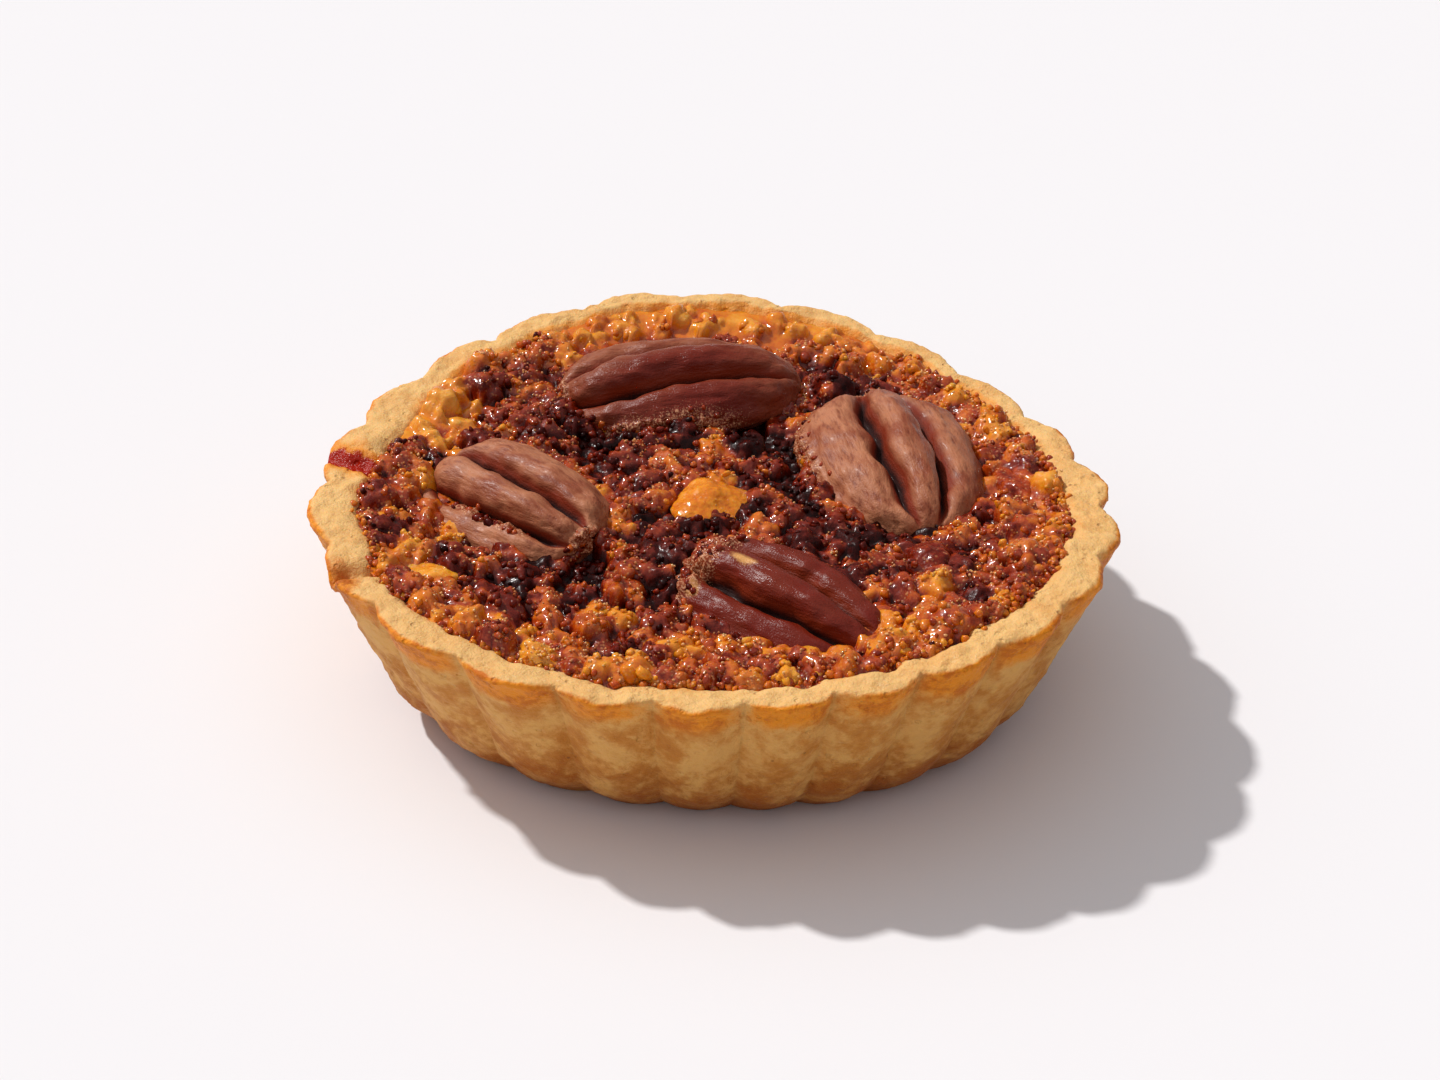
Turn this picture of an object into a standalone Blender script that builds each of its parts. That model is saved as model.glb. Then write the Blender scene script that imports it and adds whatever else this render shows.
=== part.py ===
"""Small pecan tart: a fluted pastry cup, a craggy caramel filling, four pecan halves and loose nut pieces.

Metres, +Z up. The tart stands on z = 0 with its origin under the middle of the cup.
"""

import math
import random

import bmesh
import bpy
from mathutils import Euler, Matrix, Vector, noise

# Pastry cup
CUSP_RADIUS = 0.0413  # middle of the cup to the creases between the flutes, at the rim
RIM_HEIGHT = 0.0206
FLUTES = 23
FIRST_CREASE = math.radians(192.8)
FLUTE_DEPTH = 0.0017  # how far a flute stands out of its creases at the rim
FOOT_FLUTE_SHARE = 0.62  # a flute's depth at the foot, as a share of that at the rim
INNER_FLUTE_SHARE = 0.25  # a flute's depth inside the cup, as a share of that outside
FLUTE_COLUMNS = 5  # faces across one flute
FLUTE_ROUNDNESS = 0.85
FLUTE_START = 0.5  # share of the radius from which the flutes have their full depth
FLARE = 0.187  # share of the radius that the wall gains from foot to rim
CORNER_HEIGHT = 0.257  # share of the height over which the foot rounds in
CORNER_INSET = 0.057
CORNER_POWER = 1.84
OUTER_STEPS = (0.0, 0.05, 0.14, CORNER_HEIGHT, 0.5, 0.75)  # heights of the rings outside, as shares
WALL_THICKNESS = 0.0033
FLOOR_THICKNESS = 0.0035
FLOOR_CORNER = 0.002  # width and height of the slope between the floor and the wall, inside
INNER_STEP = 0.6  # height of the ring halfway up inside, as a share of the rim's
RIM_BEVEL = 0.0007
RIM_FALL = 0.0002  # how much lower the rim is inside than outside

# Unevenness of the hand-lined cup: rows of harmonic, sine and cosine
SPACING_WAVES = ((1, -0.061, -0.157), (2, 0.024, -0.017))  # radians that the flutes are off even spacing
OUTLINE_WAVES = ((1, -0.029, 0.0), (2, 0.0, 0.008), (3, -0.029, 0.0), (4, 0.0, -0.003))  # share of radius
RIM_WAVES = ((2, -0.00078, 0.00033), (3, -0.00091, 0.0))  # metres over the mean height
WALL_WAVES = ((1, 0.0, 0.0005), (2, 0.0, 0.0005))  # metres over the mean thickness

# Filling
GAP = 0.00035  # between solids that touch
FILL_DEPTH = 0.0013  # the filling's edge under the rim
FILL_DOME = 0.0005
FILL_RELIEF = 0.0011
RELIEF_SIZE = 0.006
FILL_RINGS = 6
FILL_COLUMNS = 2  # faces across one flute
LUMP_COUNT = 150
LUMP_LARGEST = 0.0030
LUMP_SMALLEST = 0.0014
LUMP_FALL = 0.7  # how fast the lumps get smaller along the row
LUMP_SPACING = 0.84
LUMP_CLEARANCE = 0.15  # how far a lump's middle keeps from a nut, as a share of the lump
LUMP_EDGE = 1.12  # how far it keeps from the wall
LUMP_RISE = 0.3  # most that it stands up out of the filling
LUMP_STRETCH = ((0.85, 1.1), (0.75, 1.0), (0.7, 0.95))
LUMP_JITTER = (0.86, 1.1)
LUMP_TRIES = 400
LUMP_SEED = 46

# Pecan halves
PECAN_MERIDIANS = 28
PECAN_RINGS = 9
GROOVE_MERIDIAN = 2  # the grooves run along the second meridian on either side of the top
GROOVE_WIDTH = math.radians(11.0)
GROOVE_DEPTH = 0.30  # share of the nut's height
END_TAPER = 0.10  # how much slimmer one end is than the middle
END_DROP = 0.8  # how much more slowly the height falls to the ends than the width
BELLY_SHARE = 0.42  # depth under the widest part, as a share of the height over it
SEAT_MERIDIANS = 16
SEAT_RINGS = 9
PECAN_SEAT_GAP = 0.0007
CHUNK_SEAT_GAP = 0.00035
CHUNK_BULGE = 0.28
CHUNK_RISE = 0.7  # half the piece's depth as a share of its height


def piece(name, place, turns, size):
    """Where a nut lies: its middle, its roll, pitch and heading in degrees, and its length, width, height."""
    return {
        "name": name,
        "place": Vector(place) * 0.001,
        "turn": Euler([math.radians(angle) for angle in turns], "XYZ"),
        "size": Vector(size) * 0.001,
    }


def pecan(name, place, turns, size, blunt, ridge, lean, bow):
    """A pecan half: a piece with the bluntness of its ends and the place of its middle ridge.

    Ridge is half the angle that the middle ridge takes up. It leans to one side, and bows further at the
    ends, all in degrees.
    """
    spec = piece(name, place, turns, size)
    spec.update(blunt=blunt, ridge=math.radians(ridge), lean=math.radians(lean), bow=math.radians(bow))
    return spec


PECANS = (
    pecan("pecan_back", (-4.6, 21.0, 18.2), (-4.0, -6.0, 3.0), (28.2, 17.0, 7.0), 2.6, 26.0, -8.0, -14.0),
    pecan("pecan_right", (20.0, 6.0, 18.1), (-6.0, 3.0, -77.0), (26.4, 20.2, 6.3), 2.6, 18.0, 3.0, 0.0),
    pecan("pecan_left", (-21.2, -4.8, 17.8), (14.0, -3.0, -42.0), (22.2, 16.0, 5.8), 4.0, 22.0, -12.0, 0.0),
    pecan("pecan_front", (7.5, -22.2, 17.8), (6.0, 3.0, -35.0), (23.4, 15.6, 5.8), 2.8, 23.0, -5.0, 0.0),
)

# Nut pieces between the halves
CHUNKS = (
    piece("nut_piece_centre", (0.0, -3.4, 19.2), (0.0, 0.0, 10.0), (9.6, 8.4, 3.2)),
    piece("nut_piece_dark", (22.8, -13.6, 19.0), (0.0, 0.0, -60.0), (8.0, 5.6, 3.4)),
    piece("nut_piece_amber", (23.4, -21.6, 18.4), (0.0, 0.0, 20.0), (5.6, 5.0, 3.0)),
    piece("nut_piece_gold", (-30.0, -19.2, 18.2), (0.0, 0.0, -8.0), (8.4, 4.6, 2.8)),
    piece("nut_piece_rim", (33.4, 2.2, 18.4), (0.0, 0.0, -62.0), (9.2, 4.6, 3.0)),
)

PASTRY = ("pastry", (0.86, 0.62, 0.32, 1.0), 0.62)
CARAMEL = ("caramel_crumb", (0.33, 0.11, 0.03, 1.0), 0.32)
NUT_SKIN = ("pecan_skin", (0.36, 0.17, 0.11, 1.0), 0.55)
NUT_FLESH = ("glazed_nut", (0.78, 0.42, 0.10, 1.0), 0.35)


def clear_scene():
    """Removes whatever the scene starts with."""
    for obj in list(bpy.data.objects):
        bpy.data.objects.remove(obj, do_unlink=True)


def new_collection(name):
    """A collection in the scene."""
    collection = bpy.data.collections.new(name)
    bpy.context.scene.collection.children.link(collection)
    return collection


def new_material(look):
    """A Principled material of one colour and roughness."""
    name, colour, roughness = look
    material = bpy.data.materials.new(name)
    material.use_nodes = True
    shader = material.node_tree.nodes["Principled BSDF"]
    shader.inputs["Base Color"].default_value = colour
    shader.inputs["Roughness"].default_value = roughness
    shader.inputs["Metallic"].default_value = 0.0
    material.diffuse_color = colour
    return material


def add_object(name, bm, collection, material):
    """Makes an object of a bmesh, facing out and shaded smooth."""
    bmesh.ops.recalc_face_normals(bm, faces=bm.faces)
    mesh = bpy.data.meshes.new(name)
    bm.to_mesh(mesh)
    bm.free()
    mesh.materials.append(material)
    mesh.shade_smooth()
    obj = bpy.data.objects.new(name, mesh)
    collection.objects.link(obj)
    return obj


def wall_share(height_share):
    """Radius of the outer creases at a share of the rim's height, as a share of that at the rim."""
    corner = max(0.0, 1.0 - height_share / CORNER_HEIGHT)
    return 1.0 - FLARE * (1.0 - height_share) - CORNER_INSET * corner**CORNER_POWER


def waves(angle, rows):
    """Sum of a few waves round the cup."""
    total = 0.0
    for count, sine, cosine in rows:
        total += sine * math.sin(count * angle) + cosine * math.cos(count * angle)
    return total


def out_of_round(angle):
    """Share of the radius that the slightly squashed cup has in a direction."""
    return 1.0 + waves(angle, OUTLINE_WAVES)


def even_phase(even):
    """Counts flutes round the cup from one of the creases."""
    return (even - FIRST_CREASE) * FLUTES / (2.0 * math.pi)


def cup_point(radius, height, even, outside):
    """Places a point of the turned section on the fluted cup: outside is 1 on the outer face, 0 inside."""
    angle = even + waves(even, SPACING_WAVES)
    lobe = abs(math.sin(even_phase(even) * math.pi)) ** FLUTE_ROUNDNESS
    height_share = min(1.0, height / RIM_HEIGHT)
    depth = FLUTE_DEPTH * (FOOT_FLUTE_SHARE + (1.0 - FOOT_FLUTE_SHARE) * height_share)
    flute = depth * lobe * (INNER_FLUTE_SHARE + (1.0 - INNER_FLUTE_SHARE) * outside)
    thickened = radius - waves(angle, WALL_WAVES) * height_share * (1.0 - outside)
    middle_share = min(1.0, radius / (FLUTE_START * CUSP_RADIUS))
    reach = thickened * out_of_round(angle) + flute * middle_share
    lift = waves(angle, RIM_WAVES) * height_share**2
    return Vector((reach * math.cos(angle), reach * math.sin(angle), height + lift))


def turned(section, columns):
    """Spins a section of (radius, height, outside) points about Z and lays it on the fluted cup."""
    bm = bmesh.new()
    outside_layer = bm.verts.layers.float.new("outside")
    previous = None
    for radius, height, outside in section:
        vert = bm.verts.new((radius * math.cos(FIRST_CREASE), radius * math.sin(FIRST_CREASE), height))
        vert[outside_layer] = outside
        if previous:
            bm.edges.new((previous, vert))
        previous = vert
    bmesh.ops.spin(
        bm,
        geom=bm.verts[:] + bm.edges[:],
        axis=(0.0, 0.0, 1.0),
        cent=(0.0, 0.0, 0.0),
        angle=2.0 * math.pi,
        steps=columns,
        use_merge=True,
    )
    bmesh.ops.remove_doubles(bm, verts=bm.verts, dist=1e-7)
    for vert in bm.verts:
        radius = math.hypot(vert.co.x, vert.co.y)
        even = math.atan2(vert.co.y, vert.co.x)
        vert.co = cup_point(radius, vert.co.z, even, vert[outside_layer])
    return bm


def inner_radius(height_share):
    """Radius of the inner face at a share of the rim's height."""
    return CUSP_RADIUS * wall_share(height_share) - WALL_THICKNESS


def cup_section():
    """The cup's section, from under its middle round the wall to the inside middle."""
    section = [(0.0, 0.0, 0.0), (FLUTE_START * CUSP_RADIUS, 0.0, 1.0)]
    for height_share in OUTER_STEPS:
        section.append((CUSP_RADIUS * wall_share(height_share), RIM_HEIGHT * height_share, 1.0))
    bevel_share = RIM_BEVEL / WALL_THICKNESS
    section.append((CUSP_RADIUS, RIM_HEIGHT - RIM_BEVEL, 1.0))
    section.append((CUSP_RADIUS - RIM_BEVEL, RIM_HEIGHT, 1.0 - bevel_share))
    section.append((CUSP_RADIUS - WALL_THICKNESS + RIM_BEVEL, RIM_HEIGHT - RIM_FALL, bevel_share))
    section.append((inner_radius(1.0), RIM_HEIGHT - RIM_FALL - RIM_BEVEL, 0.0))
    section.append((inner_radius(INNER_STEP), RIM_HEIGHT * INNER_STEP, 0.0))
    corner = FLOOR_THICKNESS + FLOOR_CORNER
    section.append((inner_radius(corner / RIM_HEIGHT), corner, 0.0))
    section.append((inner_radius(FLOOR_THICKNESS / RIM_HEIGHT) - FLOOR_CORNER, FLOOR_THICKNESS, 0.0))
    section.append((0.0, FLOOR_THICKNESS, 0.0))
    return section


def make_crust(collection):
    """The fluted cup, open at the top."""
    bm = turned(cup_section(), FLUTES * FLUTE_COLUMNS)
    return add_object("crust", bm, collection, new_material(PASTRY))


def fill_level(x, y):
    """Height of the bare filling: a low dome with an uneven face."""
    share = math.hypot(x, y) / CUSP_RADIUS
    dome = FILL_DOME * max(0.0, 1.0 - share**2)
    relief = FILL_RELIEF * noise.noise(Vector((x, y, 0.0)) / RELIEF_SIZE)
    return RIM_HEIGHT - FILL_DEPTH + dome + relief


def core_section():
    """The filling's section: floor, side and top."""
    floor = FLOOR_THICKNESS + GAP
    corner = FLOOR_THICKNESS + FLOOR_CORNER
    top = RIM_HEIGHT - FILL_DEPTH
    section = [(0.0, floor, 0.0)]
    section.append((inner_radius(FLOOR_THICKNESS / RIM_HEIGHT) - FLOOR_CORNER - GAP, floor, 0.0))
    for height in (corner, INNER_STEP * RIM_HEIGHT, top):
        section.append((inner_radius(height / RIM_HEIGHT) - GAP, height, 0.0))
    edge = section[-1][0]
    for ring in range(FILL_RINGS - 1, -1, -1):
        section.append((edge * ring / FILL_RINGS, top, 0.0))
    return section


def make_core(collection, material):
    """The bare filling under its lumps, fitted inside the cup."""
    bm = turned(core_section(), FLUTES * FILL_COLUMNS)
    middle = 0.5 * RIM_HEIGHT
    edge = inner_radius(1.0 - FILL_DEPTH / RIM_HEIGHT) - GAP
    outermost = (FILL_RINGS - 0.5) / FILL_RINGS
    for vert in bm.verts:
        share = math.hypot(vert.co.x, vert.co.y) / edge
        if vert.co.z > middle and share < outermost:
            angle = math.atan2(vert.co.y, vert.co.x)
            vert.co.z = fill_level(vert.co.x, vert.co.y) + waves(angle, RIM_WAVES) * share**2
    return add_object("filling", bm, collection, material)


def section_angle(meridian, along, spec):
    """Turns a meridian's even angle so that the middle ridge has its own width, lean and bow."""
    narrowing = spec["ridge"] / groove_angle() - 1.0
    turned_by = spec["lean"] + spec["bow"] * along**2
    return meridian * (1.0 + narrowing * math.exp(-(meridian**2))) + turned_by * math.exp(-0.5 * meridian**2)


def groove_angle():
    """Even angle of the two meridians that the grooves follow."""
    return GROOVE_MERIDIAN * 2.0 * math.pi / PECAN_MERIDIANS


def pecan_point(direction, spec, grown=0.0):
    """Maps a point of the unit ball, whose poles lie along X, to a pecan half with its ridged side up.

    A seat for the nut is the same shape, grown by a distance and without the grooves.
    """
    along = max(-1.0, min(1.0, direction.x))
    meridian = math.atan2(direction.y, direction.z)
    around = section_angle(meridian, along, spec)
    taper = (1.0 - abs(along) ** spec["blunt"]) ** 0.5 * (1.0 - END_TAPER * along)
    groove = math.exp(-(((abs(meridian) - groove_angle()) / GROOVE_WIDTH) ** 2))
    depth = 0.0 if grown else GROOVE_DEPTH * groove * (1.0 - along**4)
    length, width, height = spec["size"]
    rise = height if math.cos(around) > 0.0 else BELLY_SHARE * height
    return Vector(
        (
            (0.5 * length + grown) * along,
            (0.5 * width + grown) * math.sin(around) * taper,
            (rise + grown) * math.cos(around) * taper**END_DROP * (1.0 - depth),
        )
    )


def ball(meridians, rings):
    """A unit ball whose poles lie along X."""
    bm = bmesh.new()
    bmesh.ops.create_uvsphere(bm, u_segments=meridians, v_segments=rings, radius=1.0)
    bmesh.ops.rotate(bm, verts=bm.verts, cent=(0.0, 0.0, 0.0), matrix=Matrix.Rotation(math.pi / 2.0, 3, "Y"))
    return bm


def lay(bm, spec):
    """Turns a nut and moves it to its place."""
    turn = spec["turn"].to_matrix().to_4x4()
    bmesh.ops.transform(bm, matrix=Matrix.Translation(spec["place"]) @ turn, verts=bm.verts)


def make_pecan(spec, collection, material):
    """One pecan half, ridges up."""
    bm = ball(PECAN_MERIDIANS, PECAN_RINGS)
    for vert in bm.verts:
        vert.co = pecan_point(vert.co, spec)
    lay(bm, spec)
    return add_object(spec["name"], bm, collection, material)


def chunk_point(direction, spec, seed, grown=0.0):
    """Maps a point of the unit ball to a broken nut piece with rounded, uneven sides."""
    bulge = 1.0 + CHUNK_BULGE * noise.noise(direction * 1.3 + Vector((seed * 3.1, 0.0, 0.0)))
    length, width, height = spec["size"]
    return Vector(
        (
            (0.5 * length * bulge + grown) * direction.x,
            (0.5 * width * bulge + grown) * direction.y,
            (CHUNK_RISE * height * bulge + grown) * direction.z,
        )
    )


def make_chunk(spec, seed, collection, material):
    """A broken nut piece."""
    bm = bmesh.new()
    bmesh.ops.create_icosphere(bm, subdivisions=2, radius=1.0)
    for vert in bm.verts:
        vert.co = chunk_point(vert.co, spec, seed)
    lay(bm, spec)
    return add_object(spec["name"], bm, collection, material)


def make_seat(spec, bm, collection, material):
    """Lays a cutter, a little larger than a nut, where the nut lies."""
    lay(bm, spec)
    seat = add_object(spec["name"] + "_seat", bm, collection, material)
    seat.display_type = "WIRE"
    seat.hide_render = True
    return seat


def make_seats(collection, material):
    """Cutters for all the nuts, grown so that their flat faces clear the nuts too."""
    for spec in PECANS:
        bm = ball(SEAT_MERIDIANS, SEAT_RINGS)
        for vert in bm.verts:
            vert.co = pecan_point(vert.co, spec, PECAN_SEAT_GAP)
        make_seat(spec, bm, collection, material)
    for seed, spec in enumerate(CHUNKS):
        bm = bmesh.new()
        bmesh.ops.create_icosphere(bm, subdivisions=2, radius=1.0)
        for vert in bm.verts:
            vert.co = chunk_point(vert.co, spec, seed, CHUNK_SEAT_GAP)
        make_seat(spec, bm, collection, material)


def nut_distance(spec, point):
    """How far a plan point lies outside a nut's outline, in metres, below zero inside it."""
    offset = Vector((point.x - spec["place"].x, point.y - spec["place"].y, 0.0))
    local = spec["turn"].to_matrix().inverted() @ offset
    reach = math.hypot(local.x / (0.5 * spec["size"].x), local.y / (0.5 * spec["size"].y))
    return (reach - 1.0) * 0.5 * spec["size"].y


def lump_places():
    """Picks where the lumps lie, the largest first, spread evenly and clear of the nuts and the wall."""
    draw = random.Random(LUMP_SEED)
    places = []
    edge = inner_radius(0.9) - GAP
    for index in range(LUMP_COUNT):
        share = index / (LUMP_COUNT - 1)
        size = LUMP_LARGEST + (LUMP_SMALLEST - LUMP_LARGEST) * share**LUMP_FALL
        for _ in range(LUMP_TRIES):
            angle = draw.uniform(-math.pi, math.pi)
            limit = (edge - waves(angle, WALL_WAVES)) * out_of_round(angle) - LUMP_EDGE * size
            reach = limit * math.sqrt(draw.random())
            point = Vector((reach * math.cos(angle), reach * math.sin(angle), 0.0))
            clear = all(nut_distance(spec, point) > LUMP_CLEARANCE * size for spec in PECANS + CHUNKS)
            apart = all((point - other).length > LUMP_SPACING * (size + girth) for other, girth in places)
            if clear and apart:
                places.append((point, size))
                break
    return places


def make_lumps(collection, material):
    """Craggy crumbs, each a jittered ball of few faces half sunk in the filling."""
    draw = random.Random(LUMP_SEED + 1)
    for index, (point, size) in enumerate(lump_places()):
        bm = bmesh.new()
        bmesh.ops.create_icosphere(bm, subdivisions=1, radius=1.0)
        stretch = Vector([draw.uniform(least, most) for least, most in LUMP_STRETCH])
        for vert in bm.verts:
            vert.co *= draw.uniform(*LUMP_JITTER) * size
            vert.co = Vector((vert.co.x * stretch.x, vert.co.y * stretch.y, vert.co.z * stretch.z))
        turn = Euler([draw.uniform(-math.pi, math.pi) for _ in range(3)]).to_matrix().to_4x4()
        level = fill_level(point.x, point.y) + draw.uniform(0.0, LUMP_RISE) * size
        bmesh.ops.transform(
            bm, matrix=Matrix.Translation((point.x, point.y, level)) @ turn, verts=bm.verts
        )
        add_object(f"lump_{index:03d}", bm, collection, material)


def apply_boolean(obj, operation, collection, solver):
    """Joins or cuts an object with all of a collection and keeps the result as its mesh."""
    modifier = obj.modifiers.new(operation.lower(), "BOOLEAN")
    modifier.operation = operation
    modifier.operand_type = "COLLECTION"
    modifier.collection = collection
    modifier.solver = solver
    bpy.context.view_layer.update()
    graph = bpy.context.evaluated_depsgraph_get()
    mesh = bpy.data.meshes.new_from_object(obj.evaluated_get(graph))
    obj.modifiers.clear()
    obj.data = mesh


def remove_collection(collection):
    """Removes a collection with its objects."""
    for obj in list(collection.objects):
        bpy.data.objects.remove(obj, do_unlink=True)
    bpy.data.collections.remove(collection)


def keep_largest_body(obj):
    """Drops loose scraps, so that one body stays."""
    bm = bmesh.new()
    bm.from_mesh(obj.data)
    unseen = set(bm.faces)
    bodies = []
    while unseen:
        body = []
        front = [unseen.pop()]
        while front:
            face = front.pop()
            body.append(face)
            for edge in face.edges:
                for other in edge.link_faces:
                    if other in unseen:
                        unseen.remove(other)
                        front.append(other)
        bodies.append(body)
    bodies.sort(key=len, reverse=True)
    scraps = [face for body in bodies[1:] for face in body]
    bmesh.ops.delete(bm, geom=scraps, context="FACES")
    bm.to_mesh(obj.data)
    bm.free()


def make_filling(collection):
    """The filling: core and lumps joined, then cut round the nuts that sit in it."""
    material = new_material(CARAMEL)
    filling = make_core(collection, material)
    lumps = new_collection("filling_lumps")
    make_lumps(lumps, material)
    apply_boolean(filling, "UNION", lumps, "MANIFOLD")
    remove_collection(lumps)
    seats = new_collection("nut_seats")
    make_seats(seats, material)
    apply_boolean(filling, "DIFFERENCE", seats, "MANIFOLD")
    remove_collection(seats)
    keep_largest_body(filling)
    return filling


def main():
    """Builds the tart."""
    clear_scene()
    tart = new_collection("pecan_tart")
    make_crust(tart)
    make_filling(tart)
    skin = new_material(NUT_SKIN)
    flesh = new_material(NUT_FLESH)
    for spec in PECANS:
        make_pecan(spec, tart, skin)
    for seed, spec in enumerate(CHUNKS):
        make_chunk(spec, seed, tart, flesh)


main()
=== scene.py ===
"""Looks of a small pecan tart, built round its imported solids.

The fluted crust, the craggy caramel filling with its crumbs, four pecan halves and the loose nut pieces are
modelled at true size in the frame of the solids, and stand on a plain pale floor under soft studio light.
"""

import functools
import itertools
import logging
import math
import random
from dataclasses import dataclass
from enum import Enum
from typing import Any, Optional, Sequence, Union

import bmesh
import bpy
import numpy as np
from mathutils import Euler, Matrix, Vector


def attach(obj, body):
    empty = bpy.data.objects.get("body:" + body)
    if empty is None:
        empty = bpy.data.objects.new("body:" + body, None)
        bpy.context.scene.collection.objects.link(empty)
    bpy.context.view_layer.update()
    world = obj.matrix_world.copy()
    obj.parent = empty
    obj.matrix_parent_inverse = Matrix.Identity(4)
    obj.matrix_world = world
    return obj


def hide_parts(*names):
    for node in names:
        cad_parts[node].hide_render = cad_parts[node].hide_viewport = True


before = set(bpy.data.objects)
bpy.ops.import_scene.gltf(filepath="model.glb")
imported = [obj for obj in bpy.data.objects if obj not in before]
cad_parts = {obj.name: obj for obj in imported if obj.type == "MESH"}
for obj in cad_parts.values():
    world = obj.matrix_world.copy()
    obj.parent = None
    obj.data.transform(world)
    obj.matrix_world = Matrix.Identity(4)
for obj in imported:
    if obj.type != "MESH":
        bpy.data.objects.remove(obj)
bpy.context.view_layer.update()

LOG = logging.getLogger("pecan_tart")
BODY = "root"
MM = 0.001

Array = np.ndarray
Colour = tuple[float, float, float]
Number = Union[float, "Value"]


class Slot(Enum):
    """Material slots of the record."""

    PASTRY = "pastry"
    CARAMEL = "caramel_crumb"
    SKIN = "pecan_skin"
    FLESH = "glazed_nut"


class Crumb(Enum):
    """Kinds of caramel crumb, by how far they are baked."""

    BURNT = "burnt_crumbs"
    RED = "red_beads"
    AMBER = "amber_crumbs"
    GOLDEN = "golden_crumbs"


class Value:
    """A number in a shader: a socket whose operators add Math nodes."""

    def __init__(self, nodes: "NodeMaker", socket: bpy.types.NodeSocket) -> None:
        """Wraps a socket of a node maker's tree."""
        self.nodes, self.socket = nodes, socket

    def _math(self, operation: str, *numbers: Number, clamp: bool = False) -> "Value":
        """Adds one Math node on some numbers, its result kept between 0 and 1 where clamp is set."""
        settings = {"operation": operation, "use_clamp": clamp}
        return self.nodes.value("ShaderNodeMath", settings, dict(enumerate(numbers)))

    def __add__(self, other: Number) -> "Value":
        """Sum."""
        return self._math("ADD", self, other)

    __radd__ = __add__

    def __sub__(self, other: Number) -> "Value":
        """Difference."""
        return self._math("SUBTRACT", self, other)

    def __rsub__(self, other: Number) -> "Value":
        """Difference the other way round."""
        return self._math("SUBTRACT", other, self)

    def __mul__(self, other: Number) -> "Value":
        """Product."""
        return self._math("MULTIPLY", self, other)

    __rmul__ = __mul__

    def kept(self) -> "Value":
        """Kept between 0 and 1."""
        return self._math("ADD", self, 0.0, clamp=True)

    def step(self, low: float, high: float) -> "Value":
        """Rises smoothly from 0 at low to 1 at high, or falls where low is above high.

        Args:
            low, high: where the result is 0 and 1.

        Returns:
            The smooth step.
        """
        ends = (low, high, 0.0, 1.0) if low < high else (high, low, 1.0, 0.0)
        settings = {"interpolation_type": "SMOOTHSTEP", "clamp": True}
        return self.nodes.value("ShaderNodeMapRange", settings, dict(enumerate((self, *ends))))


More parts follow.
